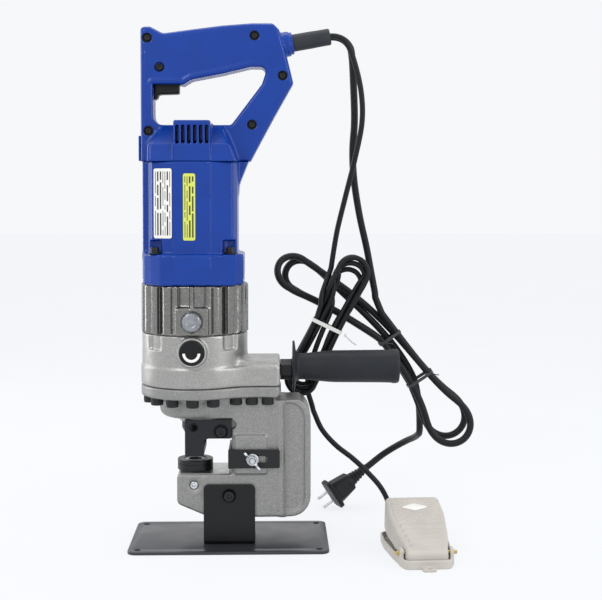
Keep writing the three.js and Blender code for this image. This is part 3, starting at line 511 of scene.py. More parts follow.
class Hank:
    """A lead folded up and down along a chain of discs (x, z, radius), between two depths."""

    def __init__(self, discs, y0, y1, diameter, side, ties):
        self.discs = np.array(discs, float)
        self.y0, self.y1, self.d, self.side = y0, y1, diameter, side
        self.lengths = np.linalg.norm(np.diff(self.discs[:, :2], axis=0), axis=1)
        self.long = self.lengths.sum()
        self.ties = ties  # (way along the chain, half width, half depth)

    def frame(self, way):
        """The middle, the unit direction and the sideways direction of the chain, a given way along it."""
        here = min(max(way, 0.0), self.long - 1e-6)
        bound = np.concatenate([[0], np.cumsum(self.lengths)])
        link = int(np.searchsorted(bound, here, "right") - 1)
        a, b = self.discs[link, :2], self.discs[link + 1, :2]
        along = (b - a) / self.lengths[link]
        across = np.array([-along[1], along[0]]) * self.side
        return a + along * (way - bound[link]), along, across

    def point(self, way, lateral, y):
        middle, _, across = self.frame(way)
        x, z = middle + across * lateral
        return (x, y, z)

    def fold(self, at_end, radius, inset, y_in, y_out):
        """Points round one end: down side to up side at the far end, and back at the near one."""
        centre_way = self.long - inset if at_end else inset
        middle, along, across = self.frame(centre_way)
        made = []
        for k in range(9):
            a = math.pi * (k / 8 - 0.5)
            out = along * math.cos(a) * radius * (1 if at_end else -1)
            side = across * -math.sin(a) * radius * (1 if at_end else -1)
            x, z = middle + out + side
            share = 0.5 + 0.5 * math.sin(a)
            made.append((x, y_in + (y_out - y_in) * share, z))
        return made

    def hold(self, p):
        """Keeps points inside the hank's own space and inside its ties."""
        best = None
        for link in range(len(self.lengths)):
            a, b = self.discs[link], self.discs[link + 1]
            way = (b[:2] - a[:2]) / self.lengths[link]
            s = np.clip(((p[:, [0, 2]] - a[:2]) @ way) / self.lengths[link], 0, 1)
            near = a[:2] + s[:, None] * (b[:2] - a[:2])
            gap = p[:, [0, 2]] - near
            away = np.linalg.norm(gap, axis=1)
            over = away - (a[2] + (b[2] - a[2]) * s - self.d / 2)
            new = (over, near, gap, away, s * self.lengths[link] + self.lengths[:link].sum())
            if best is None:
                best = new
            else:
                pick = over < best[0]
                picks = [pick[:, None] if old.ndim == 2 else pick for old in best]
                best = tuple(np.where(*choice) for choice in zip(picks, new, best))
        over, near, gap, away, way = best
        ratio = np.where(over > 0, (away - over) / np.maximum(away, 1e-6), 1.0)
        p[:, [0, 2]] = near + gap * ratio[:, None]
        p[:, 1] = np.clip(p[:, 1], self.y0 + self.d / 2, self.y1 - self.d / 2)
        for tie_way, half_width, half_depth in self.ties:
            middle, along, across = self.frame(tie_way)
            rel = p[:, [0, 2]] - middle
            close = np.abs(rel @ along) < 5
            lateral = rel @ across
            pull = np.clip(lateral, -half_width, half_width) - lateral
            p[close, 0] += (pull * across[0])[close]
            p[close, 2] += (pull * across[1])[close]
            centre_y = (self.y0 + self.y1) / 2
            p[close, 1] = np.clip(p[close, 1], centre_y - half_depth, centre_y + half_depth)

    def settle(self, p, free, steps=420):
        """Lets the strands push each other apart while each keeps its length and its least bend."""
        rest = np.linalg.norm(np.diff(p, axis=0), axis=1).mean()
        count = len(p)
        index = np.arange(count)
        apart = np.abs(index[:, None] - index[None, :]) * rest > 2.2 * self.d
        reach, bend, touch = 3, 2.9 * self.d, self.d * 1.02
        least = 2 * bend * math.sin(reach * rest / bend)
        ends = p[[0, 1, -2, -1]].copy()
        for _ in range(steps):
            gap = p[:, None, :] - p[None, :, :]
            away = np.sqrt((gap**2).sum(axis=2)) + 1e-6
            push = np.where(apart & (away < touch), (touch - away) / away * 0.42, 0.0)
            p += (gap * push[:, :, None]).sum(axis=1) * 0.8
            chord = p[2 * reach:] - p[: -2 * reach]
            size = np.linalg.norm(chord, axis=1)
            short = np.clip(least - size, 0, None) / np.maximum(size, 1e-6) * 0.3
            p[2 * reach:] += chord * short[:, None]
            p[: -2 * reach] -= chord * short[:, None]
            p[1:-1] += 0.3 * ((p[:-2] + p[2:]) / 2 - p[1:-1])
            for _ in range(3):
                step = np.diff(p, axis=0)
                size = np.linalg.norm(step, axis=1)
                fix = step * ((size - rest) / size * 0.5)[:, None]
                p[:-1] += fix * 0.9
                p[1:] -= fix * 0.9
            inner = p[free:-8].copy()
            self.hold(inner)
            p[free:-8] = inner
            p[[0, 1, -2, -1]] = ends
        return p


def wind(hank, first, strands, folds, last, pitch, free):
    """The folded part of a lead: strands (lateral, y) at the ties, folds (radius, inset, y) at the ends."""
    route = list(first)
    waist = [way for way, _, _ in hank.ties]
    for k, (lateral, y) in enumerate(strands):
        down = k % 2 == 0
        for way in waist if down else reversed(waist):
            route.append(hank.point(way, lateral, y))
        if k < len(folds):
            radius, inset, fold_y = folds[k]
            next_y = folds[k + 1][2] if k + 1 < len(folds) else fold_y
            route += hank.fold(down, radius, inset, fold_y, (fold_y + next_y) / 2)
    route += list(last)
    return hank.settle(resample(route, pitch), free)


def lead_curve(name, route, diameter, material):
    """A lead as one smooth curve through points in millimetres."""
    curve = bpy.data.curves.new(name, "CURVE")
    curve.dimensions = "3D"
    curve.bevel_depth = diameter / 2 * MM
    curve.bevel_resolution = 5
    curve.resolution_u = 3
    curve.use_fill_caps = True
    spline = curve.splines.new("BEZIER")
    spline.bezier_points.add(len(route) - 1)
    p = np.array(route, float) * MM
    for i, point in enumerate(spline.bezier_points):
        before, after = p[max(i - 1, 0)], p[min(i + 1, len(p) - 1)]
        tangent = (after - before) / (2 if 0 < i < len(p) - 1 else 1)
        point.co = p[i]
        point.handle_left_type = point.handle_right_type = "FREE"
        point.handle_left = p[i] - tangent / 3
        point.handle_right = p[i] + tangent / 3
    curve.materials.append(material)
    piece = stand(name, curve)
    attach(piece, "tool")
    return piece


def ease(route, diameter, passes=30):
    """Opens out the tightest bends that are left where the parts of a route meet."""
    p = route.copy()
    for _ in range(passes):
        a, b, c = p[:-2], p[1:-1], p[2:]
        ab, bc, ca = (np.linalg.norm(side, axis=1) for side in (a - b, b - c, a - c))
        radius = bc * ca * ab / (2 * np.linalg.norm(np.cross(b - a, c - a), axis=1) + 1e-9)
        tight = radius < 2.0 * diameter
        p[1:-1][tight] += 0.25 * ((a + c) / 2 - b)[tight]
    return p


MAINS_TIES = [(140.4, 12, 8.5), (196.3, 12, 8.5)]
FOOT_TIES = [(70, 13.5, 4.2)]
mains_hank = Hank([(58, 281, 21), (172, 208, 17), (243, 103, 27)], 53.5, 89, MAINS_D, 1, MAINS_TIES)
foot_hank = Hank([(133, 282, 19), (72, 156, 18)], 31, 51, FOOT_D, -1, FOOT_TIES)

mains_folded = wind(
    mains_hank,
    [MAINS_LEAD[-2], MAINS_LEAD[-1], (160, 70.5, 229)],
    [(8, 66), (-8, 66), (8, 76), (-8, 76), (-1, 72)],
    [(23.2, 0, 58), (17.2, 0, 62), (23.2, 6, 80), (17.2, 12, 84)],
    [(206, 78, 143), (211, 84, 124), (211.5, 88, 109), MAINS_TAIL[0], MAINS_TAIL[1]],
    5.0,
    5,
)
foot_folded = wind(
    foot_hank,
    [FOOT_LEAD[-2], FOOT_LEAD[-1], (103.5, 41, 262), (98.5, 41, 246)],
    [
        (12.4, 38), (-12.4, 38), (12.4, 44), (-12.4, 44), (6.2, 38), (-6.2, 38), (6.2, 44), (-6.2, 44),
        (0, 41),
    ],
    [
        (15, 0, 34), (16, 0, 35), (15, 5, 39), (16, 7, 39.5), (15, 2, 43.5), (16, 3, 44), (15, 9, 48),
        (16, 14, 48),
    ],
    [(76, 41, 170), (81, 40.4, 151), FOOT_TAIL[0], FOOT_TAIL[1]],
    4.0,
    12,
)
MAINS_ROUTE = np.vstack([resample(MAINS_LEAD[:-1], 8)[:-1], mains_folded[:-1], resample(MAINS_TAIL[1:], 8)])
FOOT_ROUTE = np.vstack([resample(FOOT_LEAD[:-1], 7)[:-1], foot_folded[:-1], resample(FOOT_TAIL[1:], 7)])
mains_cord = lead_curve("mains_cord", ease(MAINS_ROUTE, MAINS_D), MAINS_D, CORD)
foot_cord = lead_curve("foot_switch_cord", ease(FOOT_ROUTE, FOOT_D), FOOT_D, CORD)


# ---------------------------------------------------------------- C-frame
def smooth_step(value, low, high):
    t = np.clip((value - low) / (high - low), 0, 1)
    return t * t * (3 - 2 * t)


def flange_plan(g, low, high, edge):
    """The bolted joint's plan: a round head round the ram and a neck that reaches the side handle."""
    head = g.radial(AXIS_X) - 55.5
    neck = rounded(np.abs(g.y) - 35, np.abs(g.x - 20) - 32, 5)
    plan = melt(head, neck, 16)
    return rounded(plan, span(g.z, low, high), edge)


def copies(piece, places):
    """Repeats a piece's mesh at several matrices, as one mesh."""
    mesh = piece.data
    vertices = np.array([v.co[:] for v in mesh.vertices])
    faces = [tuple(p.vertices) for p in mesh.polygons]
    all_vertices, all_faces = [], []
    for place in places:
        m = np.array(place)
        start = len(all_vertices) * len(vertices)
        all_vertices.append(vertices @ m[:3, :3].T + m[:3, 3])
        all_faces += [tuple(i + start for i in face) for face in faces]
    new = bpy.data.meshes.new(mesh.name)
    new.from_pydata(np.vstack(all_vertices).tolist(), [], all_faces)
    new.polygons.foreach_set("use_smooth", [True] * len(new.polygons))
    for material in mesh.materials:
        new.materials.append(material)
    if "sharp_edge" in mesh.attributes:
        new.set_sharp_from_angle(angle=math.radians(32))
    piece.data = new
    return piece


def add_c_frame():
    g = Grid((-93, -57, 27), (85, 57, 167), 1.1)
    side = corners([
        (-53.4, 43.8, 6), (-25.7, 31.8, 8), (-14, 29.6, 4), (57, 29.6), (57, 158), (-36, 158), (-36, 131),
        (2.8, 131), (2.8, 74.5, 2), (-53.4, 74.5, 4),
    ])
    web = g.plate("y", side, -JAW_FACE, JAW_FACE, 3)
    back_side = corners([(48, 29.6), (83, 29.6, 20), (83, 153, 22), (48, 153)])
    flat = polygon(g.x, g.z, back_side)
    back = rounded(flat, np.abs(g.y) - 24, 3)
    rim = rounded(np.abs(flat + 3) - 3, np.abs(g.y) - 26.2, 1.5)
    rim = np.maximum(rim, 52 - g.x)
    d = melt(web, melt(back, rim, 2), 3)
    d = np.minimum(d, g.box(49.9, 51.3, -29.3, 29.3, 36, 147, 0.6))
    d = np.minimum(d, g.box(56.2, 57.8, -29.3, 29.3, 33, 150, 0.6))
    boss = g.disc("z", AXIS, 36.6, 131, 178, 9)
    d = melt(d, boss, 5)
    d = melt(d, g.box(-16, 6, -23.2, 23.2, 110.6, 134, 1.5), 2)
    d = melt(d, g.box(5.8, 38.5, -31.5, -24, 74.8, 114.7, 2.2), 3)
    joint = flange_plan(g, 154, FRAME_TOP, 1.6)
    d = melt(d, joint, 6)
    d = np.maximum(d, g.z - FRAME_TOP)
    # The neck's right end is cut away at its lower corner.
    d = np.maximum(d, np.where(g.z > 150, ((g.x - 52) - (g.z - 154) * 0.8 + 3) * 0.78, -9))
    hollows = [
        (g.disc("z", AXIS, 16.3, 120, 175), 0.6),
        (g.disc("z", AXIS, 27, 139.2, 180), 0.6),
        (g.disc("z", AXIS, 12.3, 54.7, 90), 0.8),
        (g.disc("z", AXIS, 8.5, 20, 80), 0.8),
        (g.disc("y", (AXIS_X, DIE_SCREW_Z), 4.3, -40, -11.5), 0.0),
        (g.disc("y", (AXIS_X, DIE_SCREW_Z), 6.6, -40, -27.6), 1.2),
        (g.disc("y", (0, STAND_SCREW_Z), 3.3, -40, -15.5), 0.6),
        (g.disc("y", (GAUGE_X, GAUGE_Z), 3.2, -40, -14.5), 0.6),
        (g.disc("y", (STRIPPER_SCREW_X, STRIPPER_SCREW_Z), 3.3, -40, 40), 0.6),
        (g.disc("y", (2.8, 125), 4.4, -40, -22), 0.8),
        (g.disc("y", (2.8, 125), 4.4, 22, 40), 0.8),
    ]
    for hollow, ease_by in hollows:
        d = carve(d, hollow, ease_by)
    # A faint unevenness left by the sand mould.
    d = d + 0.18 * np.sin(g.x * 0.21 + 1.3) * np.sin(g.z * 0.17) * np.cos(g.y * 0.19)
    piece = g.piece("c_frame_casting", d, CAST)
    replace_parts(piece, "c_frame")
    faces = Grid((-56, -30, 73), (4, 30, 76), 0.5)
    flat_top = faces.box(-51.5, 0.6, -26.5, 26.5, 73.6, 74.75, 0.4)
    flat_top = carve(flat_top, faces.disc("z", AXIS, 12.6, 60, 90), 0.2)
    faces.piece("jaw_machined_face", flat_top, MACHINED)


def add_flange_bolts():
    g = Grid((-7.2, -7.2, 145.5), (7.2, 7.2, 154.5), 0.4)
    angle = np.arctan2(g.y, g.x)
    radial = g.radial()
    ribs = 0.22 * np.cos(angle * 30) * smooth_step(g.z, 147.4, 148.2)
    d = rounded(radial - 6.3 - ribs, np.abs(g.z - 150.2) - 4.2, 0.7)
    hexagon = np.maximum(np.abs(g.x), np.abs(g.x) * 0.5 + np.abs(g.y) * 0.866) - 2.8
    d = carve(d, np.maximum(hexagon, g.z - 149.6), 0.3)
    d = carve(d, g.disc("z", (0, 0), 4.0, 140, 146.5), 0.4)
    piece = g.piece("flange_bolts", d, BLACK_OXIDE, slot="screw_black")
    places = []
    for side in (-1, 1):
        for degrees in (-26, 0, 26, 52, 78):
            a = math.radians(degrees)
            places.append(
                shift(AXIS_X - 47 * math.sin(a), side * 47 * math.cos(a), 0) @ turn(degrees * 3, "Z")
            )
        for x in (7, 23.2, 39.4):
            places.append(shift(x, side * 28, 0) @ turn(x, "Z"))
    copies(piece, places)


# ---------------------------------------------------------------- hydraulic unit
def add_cylinder():
    g = Grid((-93, -60, 163), (54, 57, 220), 1.05)
    d = flange_plan(g, CYLINDER_LOW, 185.5, 2.2)
    barrel = g.disc("z", AXIS, 54.4, 170, CYLINDER_TOP, 1.2)
    d = melt(d, barrel, 2)
    boss = g.box(-12, 52, -30, 30, 168, 191, 2.5)
    d = melt(d, boss, 6)
    d = np.maximum(d, g.z - CYLINDER_TOP)
    d = np.maximum(d, CYLINDER_LOW - g.z)
    # The boss ends in a flat face for the side handle's collar.
    d = np.maximum(d, g.x - 52)
    ring_out = g.disc("y", (AXIS_X, KNOB_Z), 14.9, -58.4, -40, 0.8)
    d = melt(d, ring_out, 2.5)
    d = carve(d, g.disc("y", (AXIS_X, KNOB_Z), 14.1, -70, -57.3), 0.4)
    d = carve(d, g.disc("y", (AXIS_X, KNOB_Z), 12.9, -70, -53.6), 0.3)
    offset = np.minimum(np.abs(g.x - AXIS_X), np.abs(g.y))
    radial = g.radial(AXIS_X)
    pocket = rounded(np.abs(offset - 35.5) - 4.4, np.abs(g.z - 213) - 10, 3)
    d = carve(d, rounded(pocket, 51.6 - radial, 1.5), 1.2)
    hollows = [
        g.disc("z", AXIS, 34, 150, 199),
        g.disc("x", (0, COLLAR_Z), 6.3, 34, 60),
        g.disc("z", AXIS, 46.3, 212, 230),
    ]
    for hollow in hollows:
        d = carve(d, hollow, 0.6)
    d = d + 0.15 * np.sin(g.x * 0.23) * np.sin(g.z * 0.2 + 1) * np.cos(g.y * 0.17)
    piece = g.piece("cylinder_casting", d, BODY_CAST)
    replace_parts(piece, "cylinder_body")


def add_pump():
    g = Grid((-93, -58.5, 217), (21, 57, 270), 1.0)
    offset = np.minimum(np.abs(g.x - AXIS_X), np.abs(g.y))
    radial = g.radial(AXIS_X)
    column = 51.2 + 0.75 * np.sqrt(np.clip(5.6**2 - (offset - 25.5) ** 2, 0, None))
    reach = np.where(offset < 20.2, 49.6, 48.8)
    reach = reach + 5.6 * (1 - smooth_step(offset, 1.4, 2.6))
    reach = reach + 6.0 * smooth_step(offset, 13.6, 14.6) * (1 - smooth_step(offset, 19.2, 20.4))
    reach = np.maximum(reach, np.where(np.abs(offset - 25.5) < 5.6, column, 0))
    reach = np.maximum(reach, 49.5 + 5.7 * smooth_step(offset, 34.0, 35.6))
    lip = smooth_step(np.abs(g.z - 243.5), 23.2, 24.4)
    reach = np.where(offset < 20.2, reach, reach * (1 - lip) + 54.8 * lip)
    shell = rounded((radial - reach) * 0.85, np.abs(g.z - 243.5) - 24.85, 0.8)
    boss = g.box(-52.5, -19.5, -57, -40, PUMP_LOW, 247, 2.0)
    d = melt(shell, boss, 2.5)
    d = np.maximum(d, PUMP_LOW - g.z)
    hollows = [
        g.disc("z", AXIS, 46, 226, 290),
        g.disc("z", AXIS, 30, 200, 240),
        g.disc("y", (AXIS_X, OIL_PLUG_Z), 5.3, -70, -43),
        g.disc("y", (AXIS_X, OIL_PLUG_Z), 11.0, -70, -56.4),
    ]
    for hollow in hollows:
        d = carve(d, hollow, 0.6)
    piece = g.piece("pump_casting", d, BRIGHT_CAST, slot="alloy")
    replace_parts(piece, "pump_housing")


# ---------------------------------------------------------------- motor housing
def add_motor_housing():
    g = Grid((-91, -54, 267), (24, 54, 395), 1.08)
    dx, dy = np.abs(g.x - AXIS_X), np.abs(g.y)

    def plan(points):
        """Distance from a plan that is the same in all four quarters, given one quarter's corners."""
        back = points[::-1]
        ring = points + [(-x, y, r) for x, y, r in back]
        ring += [(-x, -y, r) for x, y, r in points] + [(x, -y, r) for x, y, r in back]
        return polygon(g.x - AXIS_X, g.y, corners(ring))

    barrel = rounded(plan([(45, 28, 4), (40.5, 38.5, 3), (18.4, 46, 1.5)]), np.abs(g.z - 331) - 62, 1.4)
    flange = rounded(plan([(51.3, 30, 9), (41, 41, 9), (30, 51.3, 9)]), np.abs(g.z - 284.3) - 15.7, 2.4)
    d = melt(barrel, flange, 3)
    # A raised panel front and back, with a small bead at each side.
    panel = rounded(rounded(dx - 18.4, dy - 46.6, 0.8), np.abs(g.z - 338) - 56, 1.6)
    panel_low = g.disc("y", (AXIS_X, 300), 18.4, -46.6, 46.6, 0.8)
    d = melt(d, np.minimum(panel, panel_low), 0.8)
    bead = np.sqrt((dx - 17.6) ** 2 + (dy - 46.2) ** 2) - 1.2
    d = np.minimum(d, np.maximum(bead, np.abs(g.z - 346) - 46))
    flange_panel = rounded(rounded(dx - 18.4, dy - 52.2, 0.8), np.abs(g.z - 291) - 9, 3)
    d = melt(d, flange_panel, 1.0)
    flange_bead = np.sqrt((dx - 17.6) ** 2 + (dy - 51.7) ** 2) - 1.1
    d = np.minimum(d, np.maximum(flange_bead, np.abs(g.z - 290) - 7))
    spine = g.box(-88.5, -70, -15, 15, 292, 400, 3)
    d = melt(d, spine, 5)
    fin = g.plate(
        "y", corners([(-6, 350), (8.7, 359, 4), (10, 369, 4), (13, 376, 2), (21.5, 397), (-6, 397)]), -17.5,
        17.5, 2.5,
    )
    d = melt(d, fin, 4)
    d = np.maximum(d, g.z - MOTOR_TOP)
    hollow = np.maximum(rounded(plan([(42, 19, 4), (34.6, 34.2, 4), (19, 42, 3)]), 299 - g.z, 0), g.z - 400)
    corner_post = np.sqrt((dx - 38) ** 2 + (dy - 38) ** 2)
    hollow = np.maximum(hollow, np.minimum(10.4 - corner_post, 318 - g.z))
    d = carve(d, hollow, 0)
    for radius, low, high in ((41, 281, 301), (16.3, 260, 282)):
        d = carve(d, g.disc("z", AXIS, radius, low, high), 0.5)
    # Each corner has a pocket for its screw, and a shallow line runs round the flange.
    d = carve(d, rounded(corner_post - 8.2, np.abs(g.z - 307) - 7, 1.5), 1.0)
    d = np.maximum(d, MOTOR_LOW - g.z)
    d = carve(d, rounded(np.abs(g.z - 273.5) - 0.5, 50.3 - np.maximum(dx, dy), 0.2), 0.6)
    piece = g.piece("motor_shell", d, BLUE, slot="blue_plastic")
    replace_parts(piece, "motor_housing")


# ---------------------------------------------------------------- D handle
HANDLE_OUTSIDE = [
    (-90, 393.3), (-90, 529, 3), (-86, 530.8, 1), (-80, 530.8, 2), (-67, 524, 8), (-38, 528, 9),
    (-7, 532, 9), (23, 534.4, 9), (45, 534.4, 5), (51.5, 528, 3), (58.4, 505, 5), (66, 473.4, 3),
    (47.6, 441, 9),
    (34.6, 417, 9), (22, 393.3),
]
HANDLE_OPENING = [
    (-77.5, 472.4), (-77.5, 430.4, 10), (2.5, 430.4, 5), (34, 472, 5), (40, 490, 6), (22, 490, 3),
    (-7, 483, 6), (-38, 477, 6), (-47, 471.5, 2), (-50, 472.4),
]
HANDLE_SCREWS = [(-82.8, 519), (26.3, 521.5), (54.9, 481), (23.5, 431), (-81.7, 424.6)]


def boot_place(extra=0.0):
    """The matrix that lays something made up the Z axis along the boot, its foot at the handle."""
    return shift(BOOT_X, 0, BOOT_Z) @ turn(90 - math.degrees(BOOT_LEAN), "Y") @ shift(0, 0, extra)


def add_handle_half(side):
    seam = 0.15
    low_y, high_y = (-47.5, -seam) if side < 0 else (seam, 47.5)
    g = Grid((-91, low_y, 392), (80, high_y, 536), 0.85)
    depth = np.abs(g.y)
    outer = polygon(g.x, g.z, corners(HANDLE_OUTSIDE))
    opening = polygon(g.x, g.z, corners(HANDLE_OPENING))
    plate = rounded(outer, depth - 16.6, 5)
    shoulder_front = polygon(
        depth, g.z, [(0, 380), (45, 380), (45, 393.3), (42, 410), (17.5, 430), (0, 436)]
    )
    shoulder_side = polygon(
        g.x, g.z, [(-81, 380), (9, 380), (9, 393.3), (3, 410), (-6, 430), (-66, 430), (-81, 410)]
    )
    shoulder = rounded(shoulder_front, shoulder_side, 4)
    d = melt(plate, shoulder, 6)
    vent = rounded(rounded(np.abs(g.x - AXIS_X) - 18.5, depth - 46, 1.2), np.abs(g.z - 410) - 24.3, 2)
    d = melt(d, vent, 1.5)
    cos, sin = math.cos(BOOT_LEAN), math.sin(BOOT_LEAN)
    along = (g.x - BOOT_X) * cos + (g.z - BOOT_Z) * sin
    away = np.sqrt((-(g.x - BOOT_X) * sin + (g.z - BOOT_Z) * cos) ** 2 + g.y**2)
    collar = np.minimum(
        rounded(away - 12.8, np.abs(along + 4) - 5, 1.2), rounded(away - 11.4, np.abs(along + 1) - 5.4, 0.8)
    )
    d = melt(d, collar, 2)
    d = carve(d, np.maximum(opening, depth - 18.6), 3.5)
    bead = np.sqrt((opening - 3.1) ** 2 + (depth - 14.2) ** 2) - 3.3
    d = melt(d, np.maximum(bead, g.z - 500), 1.2)
    # A shallow ridge up the left post, front and back.
    ridge = np.sqrt((g.x + 84.5) ** 2 + (depth - 15.7) ** 2) - 1.5
    d = melt(d, np.maximum(ridge, np.abs(g.z - 470) - 34), 1.0)
    # Fine ribs for the fingers under the grip, and along the right strut's outer edge.
    ribs = 0.32 * np.cos(math.tau * g.x / 3.0)
    under = smooth_step(g.z, 470, 474) * (1 - smooth_step(g.z, 492, 497))
    under = under * (1 - smooth_step(opening, 1.5, 4))
    inside_grip = smooth_step(g.x, -44, -38) * (1 - smooth_step(g.x, 20, 26))
    d = d + ribs * under * inside_grip
    strut = 0.3 * np.cos(math.tau * g.z / 3.0) * (1 - smooth_step(-outer, 1.5, 4))
    strut = strut * smooth_step(g.x, 24, 30) * (1 - smooth_step(g.z, 464, 470))
    d = d + strut * smooth_step(g.z, 410, 414)
    for i in range(6):
        # Six upright slots let the motor's air in.
        x = AXIS_X + (i - 2.5) * 5.9
        slot = rounded(rounded(np.abs(g.x - x) - 1.7, np.abs(g.z - 420.2) - 9.3, 1.4), 30 - depth, 0)
        d = carve(d, slot, 0.5)
    if side < 0:
        for x, z in HANDLE_SCREWS:
            d = carve(d, g.disc("y", (x, z), 4.9, -25, -14.2), 0.5)
        d = carve(d, g.disc("y", (LOCK_X, LOCK_Z), 4.4, -25, -10.5), 0.6)
    hollows = [
        g.disc("z", AXIS, 36, 380, 413),
        g.disc("z", AXIS, 13.3, 400, 424.3),
        g.box(-77.4, -50.6, -9, 9, 465, 500),
        g.box(-82, -36, -13, 13, 494, 518),
        g.box(-40, 40, -9, 9, 503, 520),
        rounded(away - 9.15, np.abs(along + 7.5) - 17.5, 0),
    ]
    for hollow in hollows:
        d = carve(d, hollow, 0)
    d = np.maximum(d, HANDLE_LOW - g.z)
    d = np.maximum(d, seam - side * g.y)
    name = "front" if side < 0 else "rear"
    piece = g.piece("handle_" + name, d, BLUE, slot="blue_plastic")
    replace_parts(piece, "handle_shell_" + name)


add_c_frame()
add_flange_bolts()
add_cylinder()
add_pump()
add_motor_housing()
add_handle_half(-1)
add_handle_half(1)


# ---------------------------------------------------------------- turned and flat parts
def hexagon(u, v, across):
    """Distance from a hexagon with two flats square to v."""
    a, b = np.abs(u), np.abs(v)
    return np.maximum(b, a * 0.866 + b * 0.5) - across / 2


def facing_front(x, y, z):
    """The matrix that lays something made up the Z axis so that its top faces the viewer."""
    return shift(x, y, z) @ turn(90, "X")


def socket_head(name, radius, high, key, place):
    """A round socket screw head, made up the Z axis from z = 0."""
    g = Grid((-radius - 1, -radius - 1, -1), (radius + 1, radius + 1, high + 1), 0.32)
    radial = g.radial()
    knurl = 0.12 * np.cos(np.arctan2(g.y, g.x) * 24)
    d = rounded(radial - radius + 0.15 - knurl, np.abs(g.z - high / 2) - high / 2, 0.6)
    d = carve(d, np.maximum(hexagon(g.x, g.y, key), high * 0.4 - g.z), 0.3)
    piece = g.piece(name, d, BLACK_OXIDE, slot="screw_black")
    piece.data.transform(place)
    return piece


def face_outwards(mesh, merge=None):
    """Turns every face outwards, after joining the vertices that lie within a distance of each other."""
    work = bmesh.new()
    work.from_mesh(mesh)
    if merge:
        bmesh.ops.remove_doubles(work, verts=work.verts, dist=merge)
    bmesh.ops.recalc_face_normals(work, faces=work.faces)
    work.to_mesh(mesh)
    work.free()


def flat_piece(name, rings, low, high, ease_by, material, body="tool"):
    """A flat plate in the plane of x and y, from closed outlines, with eased rims."""
    curve = bpy.data.curves.new(name, "CURVE")
    curve.dimensions = "2D"
    curve.fill_mode = "BOTH"
    curve.extrude = ((high - low) / 2 - ease_by) * MM
    curve.bevel_depth = ease_by * MM
    curve.bevel_resolution = 2
    curve.offset = -ease_by * MM
    for ring in rings:
        spline = curve.splines.new("POLY")
        spline.points.add(len(ring) - 1)
        for point, (x, y) in zip(spline.points, ring):
            point.co = (x * MM, y * MM, 0, 1)
        spline.use_cyclic_u = True
    holder = stand(name + "_outline", curve)
    bpy.context.view_layer.update()
    mesh = bpy.data.meshes.new_from_object(holder.evaluated_get(bpy.context.evaluated_depsgraph_get()))
    bpy.data.objects.remove(holder)
    bpy.data.curves.remove(curve)
    mesh.name = name
    mesh.materials.clear()
    mesh.transform(shift(0, 0, (low + high) / 2))
    face_outwards(mesh, 2e-6)
    return finish_piece(name, mesh, material, body, True, 40)


def ring_points(x, y, r, sides=28):
    return [
        (x + r * math.cos(math.tau * k / sides), y + r * math.sin(math.tau * k / sides))
        for k in range(sides)
    ]


def add_stand():
    plate = corners([(-101.5, -60, 9), (101.5, -60, 9), (101.5, 60, 9), (-101.5, 60, 9)], 10)
    holes = [ring_points(x, y, 3.25) for x in (-91.5, 91.5) for y in (-50, 50)]
    piece = flat_piece("base_plate_painted", [plate, *holes], 0, 3, 0.6, PLATE_PAINT)
    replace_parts(piece, "base_plate")

    g = Grid((-27, -32.5, 2.5), (27.5, 9, 65), 0.75)
    leg = g.plate(
        "y", corners([(-26, -10), (26.5, -10), (26.5, 64.3, 5), (-26, 64.3, 5)]), -31.8, -28.8, 0.5
    )
    leg = np.maximum(leg, g.z - 64.3)
    sole = g.box(-26, 26.5, -50, 8.2, 3.3, 6.3, 0.4)
    bend = rounded(
        rounded(-31.8 - g.y, 3.3 - g.z, 3.5), np.maximum(np.abs(g.x - 0.25) - 26.25, g.z - 70), 0.5
    )
    d = np.maximum(melt(leg, sole, 5), bend)
    d = carve(d, g.disc("y", (0, STAND_SCREW_Z), 3.3, -40, -20), 0.3)
    d = carve(d, g.disc("y", (0, STAND_SCREW_Z), 6.4, -40, -31.0), 0.5)
    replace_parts(g.piece("stand_bracket_bent", d, BLACK_PAINT, slot="black_steel"), "stand_bracket")
    screw = socket_head("stand_cap_screw", 5.2, 3.9, 5, facing_front(0, -32.1, STAND_SCREW_Z))
    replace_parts(screw, "stand_screw")


